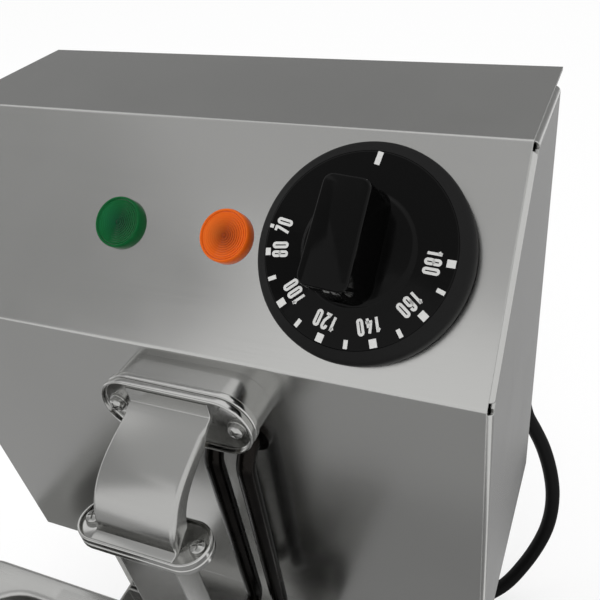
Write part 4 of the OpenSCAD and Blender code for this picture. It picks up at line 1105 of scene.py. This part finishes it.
def clamp_screws(name, place, replaces, pitch, washer):
    centres = [Vector((side * pitch / 2, 0, 0.02)) for side in (-1, 1)]
    heads = [moved(screw_head(washer), Matrix.Translation(c)) for c in centres]
    piece = solid(
        name, *join(heads), "screw", place, replaces=(replaces,), slot="plated_screw", sharp=35
    )
    cut_cross(piece, centres, place, washer + HEAD_H)


def plate_pair(place, oval, *rows):
    """Two plates of a clamp, each with its name, its CAD node, its height and its dish."""
    for name, node, z0, dish in rows:
        part = dished_plate(oval, z0, dish)
        solid(name, *part, "pressed", place, replaces=(node,), slot="satin_stainless", sharp=50)


def make_neck():
    inner = DUCT_R - SHEET
    duct = [(DUCT_R, 0.02), (DUCT_R, DUCT_L - 0.02), (inner, DUCT_L - 0.02), (inner, 0.02)]
    part = rings([oval_loop(UPPER_OVAL[0], r, z) for r, z in duct], closed=True)
    place = facing_front(NECK_X, 0, -NECK_DROP)
    solid(
        "neck_collar", *part, "cover", place, replaces=("neck_duct",), slot="satin_stainless",
        sharp=40,
    )
    front = DUCT_L + PLATE_T + PLATE_GAP
    floor = front + PLATE_T - DISH
    plate_pair(
        place, UPPER_OVAL, ("upper_plate_rear", "upper_clamp_rear", DUCT_L, 0.0),
        ("upper_plate_front", "upper_clamp_front", front, DISH),
    )
    clamp_screws(
        "upper_plate_screws", facing_front(NECK_X, -floor, -NECK_DROP), "upper_clamp_screws",
        UPPER_PITCH, 0.6,
    )
    place = HEAD @ Matrix.Translation((NECK_X, LOWER_Y, 0))
    top = LOWER_FLOOR - PLATE_T + DISH
    plate_pair(
        place, LOWER_OVAL, ("lower_plate_top", "lower_clamp_top", top, DISH),
        ("lower_plate_bottom", "lower_clamp_bottom", top - PLATE_GAP - PLATE_T, 0.0),
    )
    place = HEAD @ Matrix.Translation((NECK_X, LOWER_Y, LOWER_FLOOR))
    clamp_screws("lower_plate_screws", place, "lower_clamp_screws", LOWER_PITCH, 0.0)
    make_strap()


def bezier(corners, t):
    q = 1 - t
    return tuple(
        q**3 * a + 3 * t * q * q * b + 3 * t * t * q * c + t**3 * d for a, b, c, d in zip(*corners)
    )


STRAP_CURVE = [(-15.1, -11.2), (-34.0, -16.0), (-45.5, -21.0), (-47.8, -37.0)]
STRAP_HALF, STRAP_T, STRAP_FLANGE, STRAP_ROLL = 15.5, 1.5, 6.0, 1.9


def make_strap():
    """Bent channel over the neck: a flange in the dish, a crisp fold, then a curve whose edges
    roll down into side walls, and a foot in the lower dish."""
    y0, z0 = STRAP_CURVE[0]
    # each station has its place in Y and Z, the depth of its side walls and its share of the roll
    spine = [
        ((y0, z0 + STRAP_FLANGE), 0.0, 0.25), ((y0, z0 + 0.9), 0.0, 0.25),
        ((y0 - 0.25, z0 + 0.25), 0.0, 0.3),
    ]
    steps = 28
    for k in range(steps + 1):
        t = k / steps
        grow = min(1.0, t / 0.12) * min(1.0, 0.25 + (1 - t) / 0.10)
        wall = (4.6 + 2.6 * t) * (0.3 + 0.7 * grow)
        spine.append((bezier(STRAP_CURVE, 0.05 + 0.93 * t), wall, min(1.0, 0.35 + t / 0.05)))
    spine += [
        ((-48.1, -37.9), 1.2, 0.5), ((-48.9, -38.35), 0.0, 0.3), ((-51.1, -38.4), 0.0, 0.25),
    ]
    loops = []
    last = len(spine) - 1
    for i, (centre, wall, roll) in enumerate(spine):
        before, after = Vector(spine[max(i - 1, 0)][0]), Vector(spine[min(i + 1, last)][0])
        way = (after - before).normalized()
        inside = Vector((-way.y, way.x))
        r = STRAP_ROLL * roll
        ri = max(0.05, r - STRAP_T)
        depth = max(wall, r + 0.05, STRAP_T + 0.1)
        turn = quarter(6)
        half = [(STRAP_HALF - r + r * math.sin(q), r - r * math.cos(q)) for q in turn]
        half += [(STRAP_HALF, depth), (STRAP_HALF - STRAP_T, max(depth, STRAP_T + ri))]
        half += [
            (STRAP_HALF - STRAP_T - ri + ri * math.sin(q), STRAP_T + ri - ri * math.cos(q))
            for q in reversed(turn)
        ]
        section = [(-x, d) for x, d in reversed(half)] + half
        loops.append([(x, *(Vector(centre) + inside * d)) for x, d in section])
    part = moved(rings(loops), HEAD @ Matrix.Translation((COVER_X, 0, 0)))
    solid("neck_strap", *part, "cover", replaces=("neck_cover",), slot="satin_stainless", sharp=40)


# ------------------------------------------------------------------ heater

LEG_MID_X, LEG_PITCH, LEG_SPREAD = NECK_X + 11.9, 13.0, 5.0
HEATER_R = 3.5
LEG_Y, LEG_END_Y = -9.5, 30.0
LEG_BEND_UP, RIM_CLEAR, WALL_CLEAR, FLOOR_CLEAR = 26.0, 22.0, 10.0, 8.0
ROW_PITCH, ROW_INNER_X, ROW_WALL_CLEAR = 44.0, 24.0, 30.0
TANK_W, TANK_D = RIM_W - 2 * RIM_LEDGE, RIM_D - 2 * RIM_LEDGE
FLOOR_Z = RIM_Z - TANK_DEPTH
HEATER_Z = FLOOR_Z + FLOOR_CLEAR + HEATER_R


def heater_path():
    """Corners of the tube: out of the head, down into the tank, round both halves and back."""
    mid = -RIM_GAP - RIM_D / 2
    back = mid + TANK_D / 2 - WALL_CLEAR
    leg_z = -NECK_DROP - UPPER_OVAL[1] - 7
    clear = RIM_Z + RIM_CLEAR - BEND_Z
    bend = clear + LEG_BEND_UP
    z = HEATER_Z - BEND_Z
    left, right = LEG_MID_X - LEG_PITCH / 2, LEG_MID_X + LEG_PITCH / 2
    outer = TANK_W / 2 - ROW_WALL_CLEAR

    def row(k):
        return mid + (2.5 - k) * ROW_PITCH

    def leg(x, lean, spread):
        return [
            (x, LEG_END_Y, leg_z), (x, LEG_Y, leg_z), (x - lean, LEG_Y, bend),
            (spread, back, clear), (spread, back, z), (spread, row(0), z),
        ]

    loops = [
        (-outer if k % 2 == 0 else -ROW_INNER_X, row(k + n), z) for k in range(5) for n in (0, 1)
    ]
    return (
        leg(left, 2, left - LEG_SPREAD) + loops + [(-x, y, h) for x, y, h in reversed(loops)]
        + leg(right, 3, right + LEG_SPREAD)[::-1]
    )


def make_heater():
    path = fillet_path(heater_path(), 9.0, 8)
    part = moved(tube(path, HEATER_R, 24), HEAD)
    solid(
        "heater_tube", *part, "heater", replaces=("heater_element",), slot="heater_sheath", sharp=60
    )


# ------------------------------------------------------------------ tank


def make_tank():
    """Deep-drawn tank: rolled rim, rounded mouth and a generous radius round the floor."""
    r_floor, r_mouth, r_rim, r_corner, sheet = 14.0, 3.0, 1.8, 30, 1.0

    def level(w, d, r, z):
        return [(x, y + RIM_MID_Y, z) for x, y in rounded_rect(w, d, max(r, 0.3), 10)]

    def wall(off, z):
        return level(TANK_W + off, TANK_D + off, r_corner + off / 2, z)

    def floor_bend(off, z, angles):
        return [
            wall(off - 2 * r_floor * (1 - math.cos(a)), z + r_floor - r_floor * math.sin(a))
            for a in angles
        ]

    inner = [
        wall(-2 + 2 * (r_mouth - r_mouth * math.sin(a)), RIM_Z - r_mouth + r_mouth * math.cos(a))
        for a in quarter(6)
    ]
    inner += floor_bend(-2, FLOOR_Z, quarter(8))
    under = floor_bend(0, FLOOR_Z - sheet, reversed(quarter(8)))
    under += [wall(0, RIM_Z - sheet - 3), wall(1, RIM_Z - sheet)]
    lip = [
        (RIM_W - 2, RIM_D - 2, 9, RIM_Z - sheet), (RIM_W - 2, RIM_D - 2, 9, RIM_Z - 8),
        (RIM_W, RIM_D, 10, RIM_Z - 8),
    ]
    rim = [level(*values) for values in lip]
    for a in quarter(5):
        off = -2 * r_rim * (1 - math.cos(a))
        rim.append(
            level(RIM_W + off, RIM_D + off, 10 + off / 2, RIM_Z - r_rim + r_rim * math.sin(a))
        )
    centre_in = [(0, RIM_MID_Y, FLOOR_Z)] * len(inner[0])
    centre_out = [(0, RIM_MID_Y, FLOOR_Z - sheet)] * len(inner[0])
    part = rings([centre_out] + under + rim + inner + [centre_in], caps=False)
    solid(
        "oil_pan", *part, "tank", body="base", replaces=("oil_tank",), slot="satin_stainless",
        sharp=40,
    )


# ------------------------------------------------------------------ the rest of the CAD pieces


# pieces that keep their CAD shape, by finish
CARRIED = {
    "wrap": ("bottom_plate", "base_plate", "head_bracket", "guide_left", "guide_right"),
    "side": ("casing", "rear_cover", "sensor_channel"),
    "rod": ("heater_guard", "guard_clips", "fry_rack", "rack_handle_left", "rack_handle_right"),
    "screw": (
        "handle_screws", "guide_rivets", "bracket_screws", "cover_screws", "thermostat_screws",
    ),
    "handle": ("carry_handle_left", "carry_handle_right", "cutout_collar"),
    "rubber": ("rubber_feet",),
    "tan": ("thermostat_body", "cutout_body"),
    "brass": ("thermostat_bush", "knob_shaft"),
    "heater": ("heater_glands",),
    "copper": ("thermostat_sensor", "cutout_sensor"),
    "white": ("green_lamp_body", "orange_lamp_body", "terminal_block"),
    "grey": ("contactor",),
    "wire": ("wiring",),
    "red": ("reset_button",),
}


def dress_cad():
    for finish, names in CARRIED.items():
        for name in names:
            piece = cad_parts[name]
            piece.data.materials.clear()
            piece.data.materials.append(FINISH[finish])


# ------------------------------------------------------------------ add-on classes


class DonutFryerLook(bpy.types.PropertyGroup):
    """Sizes and finishes that a user would change."""

    knob_diameter: bpy.props.FloatProperty(
        name="Knob diameter", description="Outside of the dial's skirt, in mm",
        default=68.9, min=50, max=90,
    )
    bend_radius: bpy.props.FloatProperty(
        name="Bend radius", description="Outside radius of the housing's bends, in mm",
        default=2.4, min=0.5, max=6,
    )
    fold_radius: bpy.props.FloatProperty(
        name="Fold radius", description="Outside radius of the side panels' folds, in mm",
        default=2.2, min=1.3, max=3.5,
    )
    steel_roughness: bpy.props.FloatProperty(
        name="Steel roughness", description="Roughness of the ground sheet",
        default=0.22, min=0, max=1, subtype="FACTOR",
    )
    ambient: bpy.props.FloatProperty(
        name="Ambient light", description="Strength of the world on dull surfaces",
        default=0.95, min=0, max=2,
    )
    green_rim: bpy.props.StringProperty(
        name="Green lens", description="sRGB hex colour at the rim", default="0C4E27"
    )
    green_heart: bpy.props.StringProperty(
        name="Green heart", description="sRGB hex colour in the middle", default="083620"
    )
    orange_rim: bpy.props.StringProperty(
        name="Orange lens", description="sRGB hex colour at the rim", default="CA5A18"
    )
    orange_heart: bpy.props.StringProperty(
        name="Orange heart", description="sRGB hex colour in the middle", default="803410"
    )


class DONUTFRYER_OT_stage(bpy.types.Operator):
    """Sets up the camera, the pale table top, the lamps and the world"""

    bl_idname = "donutfryer.stage"
    bl_label = "Stage"

    def execute(self, context):
        look = context.scene.donut_fryer_look
        context.scene.view_settings.view_transform = "Standard"
        make_camera()
        make_floor()
        make_world(look)
        area_lamp("key_lamp", (0.5, -1.1, 1.5), (0, 0.1, 0.3), (0.9, 0.9), 8.0)
        area_lamp("fill_lamp", (-1.3, -0.4, 1.1), (0, 0.1, 0.3), (0.8, 0.8), 3.0)
        # glowing sheets that paint the reflections in the metal
        for values in PAINTED_REFLECTIONS:
            card(*values)
        return {"FINISHED"}


class DONUTFRYER_OT_finishes(bpy.types.Operator):
    """Makes the materials"""

    bl_idname = "donutfryer.finishes"
    bl_label = "Finishes"

    def execute(self, context):
        make_finishes(context.scene.donut_fryer_look)
        return {"FINISHED"}


class DONUTFRYER_OT_cord(bpy.types.Operator):
    """Makes the mains cord with its relief, coil and plug"""

    bl_idname = "donutfryer.cord"
    bl_label = "Mains cord"

    def execute(self, context):
        make_cord()
        return {"FINISHED"}


class DONUTFRYER_OT_housing(bpy.types.Operator):
    """Makes the bent housing and the side panels of the control head"""

    bl_idname = "donutfryer.housing"
    bl_label = "Housing"

    def execute(self, context):
        look = context.scene.donut_fryer_look
        make_wrap(look)
        side_panel(-1, look)
        side_panel(1, look)
        return {"FINISHED"}


class DONUTFRYER_OT_knob(bpy.types.Operator):
    """Makes the thermostat knob with its printed scale"""

    bl_idname = "donutfryer.knob"
    bl_label = "Thermostat knob"

    def execute(self, context):
        make_knob(context.scene.donut_fryer_look)
        return {"FINISHED"}


class DONUTFRYER_OT_lenses(bpy.types.Operator):
    """Makes the two lamp lenses"""

    bl_idname = "donutfryer.lenses"
    bl_label = "Lamp lenses"

    def execute(self, context):
        make_lenses()
        return {"FINISHED"}


class DONUTFRYER_OT_neck(bpy.types.Operator):
    """Makes the bent neck with its clamps and screws"""

    bl_idname = "donutfryer.neck"
    bl_label = "Neck"

    def execute(self, context):
        make_neck()
        return {"FINISHED"}


class DONUTFRYER_OT_heater(bpy.types.Operator):
    """Makes the heater tube"""

    bl_idname = "donutfryer.heater"
    bl_label = "Heater"

    def execute(self, context):
        make_heater()
        return {"FINISHED"}


class DONUTFRYER_OT_tank(bpy.types.Operator):
    """Makes the oil tank"""

    bl_idname = "donutfryer.tank"
    bl_label = "Oil tank"

    def execute(self, context):
        make_tank()
        return {"FINISHED"}


class DONUTFRYER_OT_carried(bpy.types.Operator):
    """Gives the pieces that come from CAD their materials"""

    bl_idname = "donutfryer.carried"
    bl_label = "CAD pieces"

    def execute(self, context):
        dress_cad()
        return {"FINISHED"}


class DONUTFRYER_PT_panel(bpy.types.Panel):
    """Lists the steps and the settings"""

    bl_label = "Donut fryer"
    bl_idname = "DONUTFRYER_PT_panel"
    bl_space_type = "VIEW_3D"
    bl_region_type = "UI"
    bl_category = "Donut fryer"

    def draw(self, context):
        look = context.scene.donut_fryer_look
        for name in look.bl_rna.properties.keys():
            if name not in {"rna_type", "name"}:
                self.layout.prop(look, name)
        for step in STEPS:
            self.layout.operator(step.bl_idname)


# the camera and the cord come first
STEPS = (
    DONUTFRYER_OT_stage,
    DONUTFRYER_OT_finishes,
    DONUTFRYER_OT_cord,
    DONUTFRYER_OT_housing,
    DONUTFRYER_OT_knob,
    DONUTFRYER_OT_lenses,
    DONUTFRYER_OT_neck,
    DONUTFRYER_OT_heater,
    DONUTFRYER_OT_tank,
    DONUTFRYER_OT_carried,
)
CLASSES = (DonutFryerLook,) + STEPS + (DONUTFRYER_PT_panel,)


def register():
    for cls in CLASSES:
        bpy.utils.register_class(cls)
    bpy.types.Scene.donut_fryer_look = bpy.props.PointerProperty(type=DonutFryerLook)


def unregister():
    del bpy.types.Scene.donut_fryer_look
    for cls in reversed(CLASSES):
        bpy.utils.unregister_class(cls)


def main():
    register()
    for step in STEPS:
        group, name = step.bl_idname.split(".")
        getattr(getattr(bpy.ops, group), name)()


if __name__ == "__main__":
    main()
